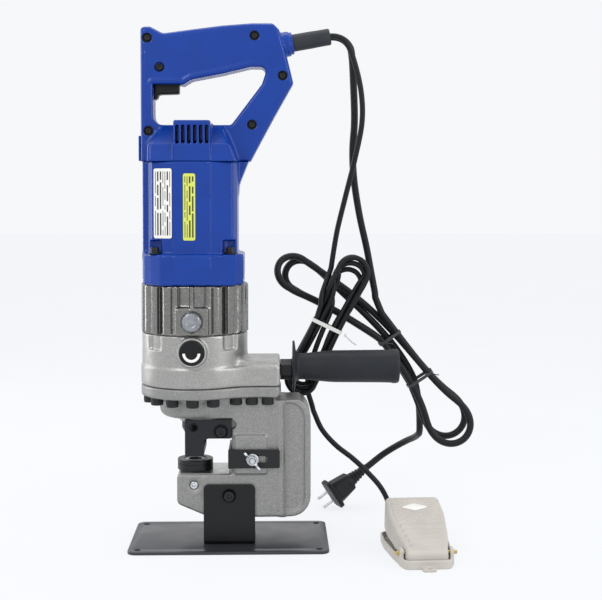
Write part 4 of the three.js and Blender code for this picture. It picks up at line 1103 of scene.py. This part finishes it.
def add_die_set():
    profile = [
        (8.2, 55), (11.4, 55), (12, 55.6), (12, 74.8), (18.1, 74.8), (18.4, 75.1), (18.4, 80.9),
        (18.0, 81.1),
        (18.0, 81.6), (18.4, 81.8), (18.4, 85.3), (17.9, 85.8), (11.5, 85.8), (11.3, 85.5), (11.3, 76),
        (8.2, 76),
    ]
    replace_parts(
        lathe("die_holder_ring", profile, BLACK_OXIDE, "tool", shift(AXIS_X, 0, 0)),
        "die_holder",
    )
    profile = [(6.85, 76.2), (10.9, 76.2), (10.9, 84.8), (10.5, 85.2), (7.3, 85.2), (6.85, 84.7)]
    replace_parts(lathe("die_insert", profile, TOOL_STEEL, "tool", shift(AXIS_X, 0, 0)), "die")
    g = Grid((-5, -5, 0), (5, 5, 15.8), 0.3)
    d = rounded(np.sqrt(g.x**2 + g.y**2) - 3.9, np.abs(g.z - 7.6) - 7.3, 0.8)
    d = carve(d, np.maximum(hexagon(g.x, g.y, 4), 11 - g.z), 0.4)
    screw = g.piece("die_lock_screw", d, ZINC, slot="zinc")
    screw.data.transform(facing_front(AXIS_X, -13, DIE_SCREW_Z))
    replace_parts(screw, "die_set_screw")
    profile = [
        (6.9, 113.1), (10.6, 113.1), (11.2, 113.4), (13.4, 117.6), (13.8, 118.6), (13.8, 125.2),
        (13.3, 125.7), (9.9, 125.7), (9.9, 117), (6.9, 117),
    ]
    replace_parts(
        lathe("punch_cap_nut", profile, BLACK_OXIDE, "ram", shift(AXIS_X, 0, 0)), "punch_nut"
    )
    profile = [
        (0, 94), (6.2, 94), (6.5, 94.3), (6.5, 117.3), (9.2, 117.3), (9.6, 117.7), (9.6, 125.7), (0, 125.7)
    ]
    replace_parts(lathe("punch_pin", profile, TOOL_STEEL, "ram", shift(AXIS_X, 0, 0)), "punch")


def add_spring():
    """The return spring as a still coil at full length, though the real one shortens as the ram comes down
    on it.
    """
    low, high, radius, wire, turns, sides = 139.5, 177.5, 22.0, 2.0, 4, 12
    steps = turns * 40
    vertices = []
    for i in range(steps + 1):
        a = math.tau * turns * i / steps
        # The first and last turns close up, and the ones between are open.
        rise = smooth_step(i / steps, 0.06, 0.94)
        height = low + wire + (high - low - 2 * wire) * float(rise)
        centre = Vector((radius * math.cos(a), radius * math.sin(a), height))
        out = Vector((math.cos(a), math.sin(a), 0))
        for k in range(sides):
            b = math.tau * k / sides
            vertices.append((centre + out * (wire * math.cos(b)) + Vector((0, 0, wire * math.sin(b)))) * MM)
    faces = [
        (i * sides + k, i * sides + (k + 1) % sides, (i + 1) * sides + (k + 1) % sides, (i + 1) * sides + k)
        for i in range(steps) for k in range(sides)
    ]
    faces += [tuple(range(sides))[::-1], tuple(steps * sides + k for k in range(sides))]
    spring = piece_from("return_spring_coil", vertices, faces, TOOL_STEEL, "tool", True, 60)
    spring.data.transform(shift(AXIS_X, 0, 0))
    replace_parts(spring, "return_spring")
    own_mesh(spring)


def add_stripper():
    g = Grid((-46, -28.5, 91), (4, 28.5, 132), 0.62)
    shape = corners(
        [
            (-45.2, 92.4, 1.5), (-25.7, 92.4, 1.5), (-25.7, 110.6, 5), (2.5, 110.6, 2), (2.5, 130.7, 1.5),
            (-45.2, 130.7, 1.5),
        ]
    )
    d = g.plate("y", shape, -27.5, 27.5, 1.0)
    d = carve(d, g.box(-60, 20, -23.5, 23.5, 98.4, 150, 1.0), 0.5)
    d = carve(d, g.disc("z", AXIS, 7.2, 80, 105), 0.5)
    d = carve(d, g.disc("y", (STRIPPER_SCREW_X, STRIPPER_SCREW_Z), 3.4, -40, 40), 0.3)
    d = carve(d, g.disc("y", (STRIPPER_SCREW_X, STRIPPER_SCREW_Z), 6.6, -40, -26.4), 0.6)
    d = carve(d, g.disc("y", (AXIS_X, SIGHT_Z), 4.3, -40, 40), 0.5)
    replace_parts(g.piece("stripper_body", d, SLATE_PAINT, slot="black_steel"), "stripper")
    screw = socket_head(
        "stripper_cap_screw", 5.0, 3.6, 4.6, facing_front(STRIPPER_SCREW_X, -27.8, STRIPPER_SCREW_Z)
    )
    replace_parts(screw, "stripper_screw")
    profile = [(3.3, 0), (4.15, 0), (4.15, 3.6), (3.9, 3.9), (3.5, 3.9), (3.3, 3.6)]
    lathe(
        "sight_hole_liner", profile, BLACK_OXIDE, "tool",
        facing_front(AXIS_X, -23.6, SIGHT_Z), 40,
    )


def add_gauge():
    g = Grid((-1.5, -36, 80.5), (53, 21, 101.5), 0.55)
    plate = g.plate(
        "y", corners([(-0.5, 81.5, 1), (51.7, 81.5, 1.5), (51.7, 100.6, 1.5), (-0.5, 100.6, 1)]), -34.8,
        -31.8, 0.5,
    )
    lip = g.box(-0.5, 2.5, -34.8, 20, 81.5, 100.6, 0.5)
    d = melt(plate, lip, 1.5)
    slot = np.sqrt(np.maximum(np.abs(g.x - 28) - 8, 0) ** 2 + (g.z - GAUGE_Z) ** 2) - 3.5
    d = carve(d, np.maximum(slot, 4 - g.x), 0.3)
    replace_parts(g.piece("back_gauge_plate", d, BLACK_OXIDE, "back_gauge", "black_steel"), "back_gauge")

    thread = [(0, -14)]
    for k in range(36):
        thread += [(2.9, -14 + k * 0.8), (2.55, -13.6 + k * 0.8)]
    thread += [(2.4, 15), (0, 15)]
    stud = lathe(
        "gauge_stud_threaded", thread, ZINC, "tool", facing_front(GAUGE_X, -JAW_FACE, GAUGE_Z), 32,
        60,
    )
    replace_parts(stud, "gauge_stud")

    g = Grid((-15, -6.8, -0.4), (15, 6.8, 13), 0.33)
    radial = g.radial()
    hub = rounded(radial - (5.3 - 0.12 * g.z), np.abs(g.z - 3.3) - 3.2, 0.6)
    d = np.minimum(hub, rounded(radial - 6.2, np.abs(g.z - 0.6) - 0.6, 0.3))
    for side in (-1, 1):
        ear = polygon(
            g.x * side, g.z,
            corners([(3.2, 1.2), (8, 1.6, 2), (13, 7.6, 2.6), (11.2, 11.4, 2.4), (8.4, 10.4, 2), (4, 6, 1)]),
        )
        d = melt(d, rounded(ear, np.abs(g.y) - (1.5 - 0.02 * g.z), 0.8), 1.4)
    d = carve(d, g.disc("z", (0, 0), 3.2, -3, 9), 0.3)
    nut = g.piece("wing_nut_cast", d, ZINC, "wing_nut", "zinc")
    nut.data.transform(shift(GAUGE_X, -35.1, GAUGE_Z) @ turn(90, "X") @ turn(-48, "Z"))
    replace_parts(nut, "wing_nut")


# ---------------------------------------------------------------- fittings of the hydraulic unit and motor
def add_unit_fittings():
    g = Grid((-14, -14, -0.5), (14, 14, 5), 0.4)
    radial = g.radial()
    knurl = 0.1 * np.cos(np.arctan2(g.y, g.x) * 48)
    d = rounded(radial - 12.35 - knurl, np.abs(g.z - 2.25) - 2.2, 0.9)
    d = carve(d, np.maximum(radial - 11.2, 4.1 - g.z), 0.3)
    knob = g.piece("release_knob_moulded", d, BLACK_PLASTIC, "release_knob", "black_plastic")
    knob.data.transform(facing_front(AXIS_X, -58.7, KNOB_Z))
    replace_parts(knob, "release_knob")
    arc = [math.pi * (1 + k / 24) for k in range(25)]
    outer, inner = ([(r * math.cos(a), r * math.sin(a)) for a in arc] for r in (8.9, 6.2))
    mark = flat_piece(
        "release_knob_mark", [outer + inner[::-1]], 4.05, 4.35, 0.1, LABEL_WHITE,
        "release_knob",
    )
    mark.data.transform(facing_front(AXIS_X, -58.7, KNOB_Z))
    profile = [(12.7, 0), (14.3, 0), (14.3, 0.9), (14.0, 1.2), (13.0, 1.2), (12.7, 0.9)]
    lathe("release_knob_seat", profile, MACHINED, "tool", facing_front(AXIS_X, -57.1, KNOB_Z), 72)

    g = Grid((-10.5, -10.5, -0.4), (10.5, 10.5, 7), 0.4)
    radial = g.radial()
    head = rounded(hexagon(g.x, g.y, 16.8), np.abs(g.z - 3.2) - 3.2, 0.3)
    head = np.maximum(head, (radial - 9.3 + (g.z - 5.4) * 1.2) * 0.7)
    d = np.minimum(head, rounded(radial - 9.4, np.abs(g.z - 0.6) - 0.55, 0.3))
    d = carve(d, g.disc("z", (0, 0), 4.6, 5.9, 9), 0.3)
    plug = g.piece("oil_plug_hex", d, TOOL_STEEL, slot="zinc")
    plug.data.transform(facing_front(AXIS_X, -57.2, OIL_PLUG_Z) @ turn(30, "Z"))
    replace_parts(plug, "oil_plug")

    g = Grid((-7, -7, -1.5), (7, 7, 6), 0.35)
    radial = g.radial()
    d = rounded(radial - 4.2, np.abs(g.z - 2.7) - 2.75, 0.5)
    d = carve(d, np.maximum(hexagon(g.x, g.y, 4), 2.6 - g.z), 0.3)
    d = np.minimum(d, rounded(radial - 6.3, np.abs(g.z + 0.6) - 0.6, 0.3))
    screws = g.piece("motor_cap_screws", d, BLACK_OXIDE, slot="screw_black")
    copies(screws, [shift(AXIS_X + sx * 38, sy * 38, 301.5) for sx in (-1, 1) for sy in (-1, 1)])
    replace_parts(screws, "motor_screw_1", "motor_screw_2", "motor_screw_3", "motor_screw_4")

    g = Grid((-12.2, -12.2, -17.5), (12.2, 12.2, 13), 0.5)
    radial = g.radial()
    d = rounded(hexagon(g.x, g.y, 19.0), np.abs(g.z - 6.15) - 6.1, 0.5)
    d = np.maximum(d, (radial - 10.8) * 0.95)
    d = np.minimum(d, rounded(radial - 5.9, np.abs(g.z + 8) - 8.5, 0.5))
    collar = g.piece("handle_hex_collar", d, BLACK_OXIDE, slot="black_steel")
    collar.data.transform(shift(52.3, 0, COLLAR_Z) @ turn(90, "Y"))
    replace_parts(collar, "handle_collar")

    profile = [
        (0, 0.2), (26.2, 0.2), (27, 0.8), (27, 1.6), (26.2, 2.4), (17, 3.6), (14.6, 5.2), (13.5, 8),
        (13.6, 12),
        (14.9, 24), (16.1, 36), (16.6, 44), (16.7, 60), (17.0, 92), (17.3, 102.5), (17.9, 104.5),
        (17.9, 107.2),
        (17.4, 109.6), (16.2, 110.8), (14.5, 111.1), (0, 111.1),
    ]
    grip = lathe(
        "side_grip", profile, GRIP, "tool", shift(64.9, 0, GRIP_Z) @ turn(90, "Y"), 72, 40
    )
    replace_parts(grip, "side_handle")


def add_handle_fittings():
    g = Grid((-78, -9.5, 456), (-50, 9.5, 487), 0.5)
    shape = corners(
        [(-77, 486), (-77, 457, 1), (-74.4, 457, 1), (-71.5, 462.2, 3), (-51, 462.8, 2), (-51, 486)]
    )
    d = g.plate("y", shape, -8.6, 8.6, 2.2)
    d = d + 0.25 * np.cos(math.tau * g.x / 2.4) * (1 - smooth_step(g.z, 462, 466))
    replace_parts(g.piece("trigger_pull", d, BLACK_PLASTIC, "trigger", "black_plastic"), "trigger")

    g = Grid((-4.5, -4.5, -0.5), (4.5, 4.5, 5.5), 0.3)
    radial = g.radial()
    d = rounded(radial - 3.9, np.abs(g.z - 2.5) - 2.5, 0.6)
    d = carve(d, np.sqrt(radial**2 + (g.z - 8) ** 2) - 3.8, 0.3)
    button = g.piece("lock_button_cap", d, BLACK_PLASTIC, "lock_button", "black_plastic")
    button.data.transform(facing_front(LOCK_X, -13.9, LOCK_Z))
    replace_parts(button, "lock_button")

    g = Grid((-3.6, -3.6, -1), (3.6, 3.6, 2.6), 0.26)
    radial = g.radial()
    d = rounded(radial - 3.0, np.abs(g.z - 0.5) - 1.1, 0.7)
    cross = np.minimum(
        np.maximum(np.abs(g.x) - 0.45, np.abs(g.y) - 1.8), np.maximum(np.abs(g.y) - 0.45, np.abs(g.x) - 1.8)
    )
    d = carve(d, np.maximum(cross, 0.5 - g.z), 0.3)
    screws = g.piece("handle_screw_heads", d, BLACK_OXIDE, slot="screw_black")
    copies(screws, [facing_front(x, -14.2, z) @ turn(x * 3, "Z") for x, z in HANDLE_SCREWS])
    # A dark lining in each screw well paints the shade inside it, over the blue plastic.
    well_shade_liners = lathe(
        "handle_screw_well_shade", [(2.7, 0), (4.95, 0), (4.95, 2.2), (4.5, 2.2), (4.2, 0.3), (2.7, 0.3)],
        PAINTED_WELL_SHADE, "tool", None, 40,
    )
    copies(well_shade_liners, [facing_front(x, -14.15, z) for x, z in HANDLE_SCREWS])

    g = Grid((-93, -12, 393), (-89.8, 12, 421), 0.45)
    d = g.box(-92.6, -90.3, -11, 11, 394, 420, 1.0)
    d = carve(d, g.disc("x", (0, 407), 3.0, -96, -92.0), 0.3)
    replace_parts(g.piece("brush_cover_cap", d, BLUE, slot="blue_plastic"), "brush_cover")

    profile = [(0, -18), (8.6, -18), (8.85, -17.5), (8.85, 2)]
    profile += [(8.85, 6), (8.8, 24), (8.6, 30), (8.55, 41.8), (8.2, 42.8), (7.4, 43.3), (0, 43.3)]
    boot = lathe("boot_sleeve", profile, BOOT, "tool", boot_place(), 56, 40)
    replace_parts(boot, "cord_boot")


# ---------------------------------------------------------------- labels
def add_labels():
    """Two blank stickers whose printing is only generic bars."""
    white_place = shift(-65.3, -42.45, 351) @ turn(-18.7, "Z") @ turn(90, "X")
    yellow_place = shift(-38.7, -46.75, 347.5) @ turn(90, "X")
    for name, place, wide, high, look in (
        ("label_white", white_place, 19.5, 70, LABEL_WHITE),
        ("label_yellow", yellow_place, 12.2, 67, LABEL_YELLOW),
    ):
        x, y = wide / 2, high / 2
        shape = corners([(-x, -y, 2), (x, -y, 2), (x, y, 2), (-x, y, 2)])
        label = flat_piece(name, [shape], 0, 0.35, 0.1, look)
        label.data.transform(place)
        vertices, faces = [], []
        rng = np.random.default_rng(7 if wide > 15 else 11)
        left = -wide / 2 + 1.6
        while left < wide / 2 - 2:
            thick = 0.7 if rng.random() < 0.75 else 1.5
            low = -high / 2 + 3
            while low < high / 2 - 8:
                top = min(high / 2 - 3, low + 5 + 22 * rng.random())
                n = len(vertices)
                for z in (0.36, 0.42):
                    vertices += [
                        (left, low, z), (left + thick, low, z), (left + thick, top, z), (left, top, z)
                    ]
                faces += [(n, n + 3, n + 2, n + 1), (n + 4, n + 5, n + 6, n + 7)]
                faces += [(n + k, n + (k + 1) % 4, n + 4 + (k + 1) % 4, n + 4 + k) for k in range(4)]
                low = top + 1.5 + 4 * rng.random()
            left += thick + 1.5
        vertices = [tuple(c * MM for c in v) for v in vertices]
        bars = piece_from(name + "_bars", vertices, faces, INK, "tool", False)
        bars.data.transform(place)


# ---------------------------------------------------------------- foot switch
FOOT_PLACE = shift(194, -111, 0) @ turn(3, "Z")
FOOT_LONG = 105.0
FOOT_RISE = 30


def foot_ring(grow):
    """The foot switch's outline seen from above, grown by a margin."""
    halves = (20, 26.5, 30, 29)
    backs = (-grow, 0.35 * FOOT_LONG, 0.7 * FOOT_LONG, FOOT_LONG + grow)
    radii = (4 + max(grow, 0), 60, 60, 7 + max(grow, 0))
    right = [(half + grow, back, r) for half, back, r in zip(halves, backs, radii)]
    return corners(right + [(-x, y, r) for x, y, r in reversed(right)], 8)


def add_foot_switch():
    g = Grid((-35, -13, -0.5), (35, 110, 50), 0.72)
    # The tread rises towards its back; level is the true distance above it.
    top = 17 + FOOT_RISE * g.y / FOOT_LONG
    tilt = 0.962
    level = (g.z - top) * tilt
    outer = polygon(g.x, g.y, foot_ring(-0.2))
    d = rounded(outer + (g.z - 10) * 0.03, level + 0.9, 3.2)
    half = 20 + 9.5 * smooth_step(g.y, -5, 75)
    inside = 1 - smooth_step(np.abs(g.x), half - 7, half - 6)
    bars = np.abs(((g.y - 9) % 8.6) - 2.2) - 2.2
    bars = (1 - smooth_step(bars, -0.5, 0.3)) * smooth_step(g.y, 8.5, 9)
    bars = bars * (1 - smooth_step(g.y, 50, 50.6))
    wave = np.cos(math.tau * (g.y + 1.1 * np.sin(g.x * 0.55)) / 4.7)
    rows = (0.5 + 0.5 * wave) * smooth_step(g.y, 54, 55) * (1 - smooth_step(g.y, 98, 99))
    badge = np.abs(g.x) / 15.5 + np.abs(g.y - 82) / 8
    rows = rows * smooth_step(badge, 1.05, 1.2)
    d = d - inside * (1.5 * bars + 1.0 * rows) * smooth_step(level, -3, -1.5)
    hollow = rounded(polygon(g.x, g.y, foot_ring(-3.2)), (g.z - top + 3.6) * tilt, 2)
    d = carve(d, hollow, 0)
    d = np.maximum(d, 6 + 10 * g.y / FOOT_LONG - g.z)
    pin = g.disc("x", HINGE, 5, -17, 17)
    d = np.minimum(d, np.maximum(pin, rounded(outer, level + 0.9, 1)))
    d = carve(d, g.disc("x", HINGE, 2.3, -70, 70), 0.3)
    tread = g.piece("pedal_tread_moulded", d, PEDAL, "pedal", "pedal_plastic")
    tread.data.transform(FOOT_PLACE)
    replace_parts(tread, "pedal_tread")

    g = Grid((-36, -14, -0.3), (36, 114, 20), 0.75)
    wall = rounded(polygon(g.x, g.y, foot_ring(3.5)), np.abs(g.z - 4.5) - 4.5, 1.2)
    ears = g.box(-27, 27, 6, 16, 0, 18, 2.5)
    d = melt(wall, ears, 1.5)
    toe = rounded(g.box(-7, 7, -12, 4, -1, 3, 0.5), rounded(np.abs(g.x) - 7, -12 - g.y, 3.5), 0.5)
    d = melt(d, np.maximum(toe, -g.z), 2)
    d = melt(d, g.disc("y", (-18, 8), 6, 106.6, 110.6, 1), 1)
    d = carve(d, np.maximum(polygon(g.x, g.y, foot_ring(1.2)), 3 - g.z), 0.5)
    d = carve(d, g.disc("x", HINGE, 2.3, -70, 70), 0.3)
    d = carve(d, g.disc("y", (-18, 8), 3.15, 90, 120), 0.3)
    d = carve(d, g.disc("z", (0, -8), 2.2, -5, 9), 0.3)
    d = np.maximum(d, -g.z)
    tray = g.piece("pedal_tray_moulded", d, PEDAL, slot="pedal_plastic")
    tray.data.transform(FOOT_PLACE)
    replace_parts(tray, "pedal_base")

    profile = [(0, -30.2), (1.5, -30.2), (2, -29.6), (2, 29.6), (1.5, 30.2), (0, 30.2)]
    pin = lathe(
        "pedal_hinge_pin", profile, YELLOW_ZINC, "tool",
        FOOT_PLACE @ shift(0, *HINGE) @ turn(90, "Y"), 28,
    )
    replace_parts(pin, "pedal_pin")
    lozenge = flat_piece(
        "pedal_badge", [corners([(-14.5, 0, 1.5), (0, -7, 4), (14.5, 0, 1.5), (0, 7, 4)])], 0, 0.7, 0.2,
        LABEL_WHITE, "pedal",
    )
    lozenge.data.transform(
        FOOT_PLACE @ shift(0, 82, 39.5) @ turn(math.degrees(math.atan2(FOOT_RISE, FOOT_LONG)), "X")
    )


# ---------------------------------------------------------------- plug and ties
def add_plug():
    place = shift(PLUG_X, PLUG_Y, PLUG_Z) @ turn(PLUG_TURN, "Z") @ turn(90 - PLUG_LEAN, "Y")
    g = Grid((-18, -14, -0.6), (18, 14, 56.6), 0.6)
    radial = g.radial()
    flange = rounded(rounded(np.abs(g.x) - 16.8, np.abs(g.y) - 12.4, 6), np.abs(g.z - 2.6) - 2.6, 0.9)
    taper = 0.16 * np.maximum(g.z - 8, 0)
    edges = (np.abs(g.x) + np.abs(g.y) - 18.6 + taper) * 0.707
    body = np.maximum(rounded(np.abs(g.x) - 12.6 + taper, np.abs(g.y) - 10.6 + taper, 1.5), edges)
    d = melt(flange, rounded(body, np.abs(g.z - 16) - 12.5, 2), 1.2)
    grooves = 0.9 * smooth_step((g.z - 31) % 4.0, 2.2, 2.6) * smooth_step(g.z, 30, 31)
    sleeve = 8.2 - 0.15 * (g.z - 26) - grooves
    d = melt(d, rounded(radial - sleeve, np.abs(g.z - 40) - 16, 0.5), 1.5)
    moulded = g.piece("plug_moulded", d, CORD, slot="plug_plastic")
    moulded.data.transform(place)
    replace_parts(moulded, "plug_body")
    for i, x in enumerate((-6.35, 6.35)):
        g = Grid((x - 1.2, -3.6, -16.4), (x + 1.2, 3.6, 5.4), 0.3)
        d = g.box(x - 0.75, x + 0.75, -3.2, 3.2, -16, 5, 0.5)
        d = rounded(d, rounded(np.abs(g.y) - 3.2, -16 - g.z, 2.2), 0.2)
        d = carve(d, g.disc("x", (0, -12.5), 1.1, -20, 20), 0.2)
        blade = g.piece("plug_pin_%d" % (i + 1), d, ZINC, slot="zinc")
        blade.data.transform(place)
        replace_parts(blade, "plug_blade_%d" % (i + 1))


def hull(points):
    """The convex outline of points in a plane, counterclockwise."""
    ordered = sorted(set(points))
    made = []
    for run in (ordered, ordered[::-1]):
        part = []
        for p in run:
            while len(part) > 1:
                (ax, ay), (bx, by) = part[-2:]
                if (bx - ax) * (p[1] - ay) > (by - ay) * (p[0] - ax):
                    break
                part.pop()
            part.append(p)
        made += part[:-1]
    return made


def add_tie(name, lead, hank, way, wide, thick, material, node, ends):
    """A band drawn tight round the strands of a hank, with its tail or twisted ends."""
    middle, along, across = hank.frame(way)
    flat = lead[:, [0, 2]] - middle
    near = np.abs(flat @ along) < wide
    in_hank = near & (np.abs(flat @ across) < 24)
    outline = []
    for lateral, y in zip((flat @ across)[in_hank], lead[in_hank, 1]):
        for k in range(20):
            a = math.pi * k / 10
            r = hank.d / 2 + 0.15
            outline.append(
                (round(float(lateral + r * math.cos(a)), 3), round(float(y + r * math.sin(a)), 3))
            )
    ring = hull(outline)
    centre = np.mean(ring, axis=0)
    vertices, faces = [], []
    count = len(ring)
    for lateral, y in ring:
        out = np.array([lateral, y]) - centre
        out = out / np.linalg.norm(out)
        for shell, edge in ((0, -1), (0, 1), (1, 1), (1, -1)):
            spot = np.array([lateral, y]) + out * thick * shell
            xz = middle + across * spot[0] + along * edge * wide / 2
            vertices.append((xz[0] * MM, spot[1] * MM, xz[1] * MM))
    for k in range(count):
        n = (k + 1) % count
        for j in range(4):
            m = (j + 1) % 4
            faces.append((k * 4 + j, n * 4 + j, n * 4 + m, k * 4 + m))
    band = piece_from(name, vertices, faces, material, "tool", True, 50)
    face_outwards(band.data)
    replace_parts(band, node)
    front = min(ring, key=lambda p: p[1])
    start = (front[0] + ends["side"], front[1] - 0.6)
    curve = bpy.data.curves.new(name + "_ends", "CURVE")
    curve.dimensions = "3D"
    curve.bevel_depth = ends["radius"] * MM
    curve.bevel_resolution = 3
    curve.use_fill_caps = True
    for route in ends["routes"]:
        spline = curve.splines.new("POLY")
        points = resample([(start[0] + u, start[1] + v, w) for u, v, w in route], 0.8)
        spline.points.add(len(points) - 1)
        for point, (u, v, w) in zip(spline.points, points):
            xz = middle + across * u + along * w
            point.co = (xz[0] * MM, v * MM, xz[1] * MM, 1)
    curve.materials.append(material)
    tail = stand(name + "_ends", curve)
    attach(tail, "tool")


def twisted(turns, long, spread):
    """Two wires twisted together, with their ends apart."""
    routes = []
    for side in (0, math.pi):
        route = [(0, 0, 0)]
        for k in range(1, turns * 8 + 1):
            a = side + math.tau * k / 8
            route.append((0.55 * math.cos(a), -long * k / (turns * 8), 0.55 * math.sin(a)))
        route.append((spread * math.cos(side), -long - 3, 2 * math.cos(side)))
        route.append((spread * 2.4 * math.cos(side), -long - 4, 5 * math.cos(side)))
        routes.append(route)
    return routes


def add_ties():
    wires = {"side": 2, "radius": 0.5, "routes": twisted(3, 6, 2.5)}
    zip_tail = {
        "side": -8, "radius": 0.9,
        "routes": [[(0, 0, 0), (-3, -3, 1), (-9, -4, 3), (-15, -3, 4)], [(0, -0.6, -1.6), (0, -0.6, 1.6)]],
    }
    mains, foot = ease(MAINS_ROUTE, MAINS_D), ease(FOOT_ROUTE, FOOT_D)
    for (way, _, _), end in zip(MAINS_TIES, ("upper", "lower")):
        node = "mains_tie_" + end
        add_tie("twist_tie_" + end, mains, mains_hank, way, 3.4, 0.9, WIRE_TIE, node, wires)
    add_tie(
        "zip_tie", foot, foot_hank, FOOT_TIES[0][0], 4.0, 1.1, TIE_WHITE, "foot_tie", zip_tail
    )


add_stand()
add_die_set()
add_stripper()
add_spring()
add_gauge()
add_unit_fittings()
add_handle_fittings()
add_labels()
add_foot_switch()
add_plug()
add_ties()


# ---------------------------------------------------------------- inner parts that keep their CAD shapes
INNER_LOOKS = {
    "ram": TOOL_STEEL, "piston_seal": SEAL, "pump_block": MACHINED,
    "armature": COPPER, "cooling_fan": BLACK_PLASTIC, "stator": BLACK_OXIDE, "lower_bearing": ZINC,
    "upper_bearing": ZINC, "carbon_brush_left": CARBON, "carbon_brush_right": CARBON,
    "eccentric_gear": TOOL_STEEL, "trigger_switch": BLACK_PLASTIC, "pedal_switch": BLACK_PLASTIC,
}
for node, look in INNER_LOOKS.items():
    NODES[node].data.materials.clear()
    NODES[node].data.materials.append(look)

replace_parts(mains_cord, "mains_lead", "mains_hank", "mains_tail")
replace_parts(foot_cord, "foot_lead", "foot_hank", "foot_tail")


# ---------------------------------------------------------------- floor and light
def add_floor():
    look = Look("studio_floor")
    look.color(look.noise(6, 2.0), [(0.3, srgb(96, 96, 96)), (0.7, srgb(99, 99, 99))])
    look.shader.inputs["Emission Color"].default_value = (0.95, 0.97, 1.0, 1.0)
    look.shader.inputs["Emission Strength"].default_value = 0.83
    look.shader.inputs["Specular IOR Level"].default_value = 0.0
    look.gloss(look.noise(3, 2.0), 0.62, 0.7)
    mesh = bpy.data.meshes.new("floor")
    reach = 9.0
    square = [(-reach, -reach, 0), (reach, -reach, 0), (reach, reach, 0), (-reach, reach, 0)]
    mesh.from_pydata(square, [], [(0, 1, 2, 3)])
    mesh.materials.append(look.material)
    floor = stand("floor", mesh)


def area_light(name, place, target, size, watts):
    """A rectangular light at a place in metres, turned towards a target."""
    data = bpy.data.lights.new(name, "AREA")
    data.shape = "RECTANGLE"
    data.size, data.size_y = size
    data.energy = watts
    light = stand(name, data)
    light.location = place
    light.rotation_euler = (Vector(target) - Vector(place)).to_track_quat("-Z", "Y").to_euler()


def add_light():
    world = bpy.data.worlds.new("studio")
    bpy.context.scene.world = world
    world.use_nodes = True
    background = world.node_tree.nodes["Background"]
    background.inputs["Color"].default_value = (0.96, 0.965, 0.985, 1.0)
    background.inputs["Strength"].default_value = 0.97
    bpy.context.scene.view_settings.view_transform = "Standard"
    middle = (0.02, 0.0, 0.27)
    area_light("key", (-0.75, -1.15, 1.15), middle, (0.7, 0.7), 7)
    area_light("side", (1.25, -0.7, 0.75), middle, (0.4, 1.2), 6)
    area_light("edge", (-1.1, 0.5, 0.6), middle, (0.4, 1.2), 6)
    area_light("top", (0.1, 0.2, 1.5), middle, (1.0, 0.6), 4)


add_floor()
add_light()
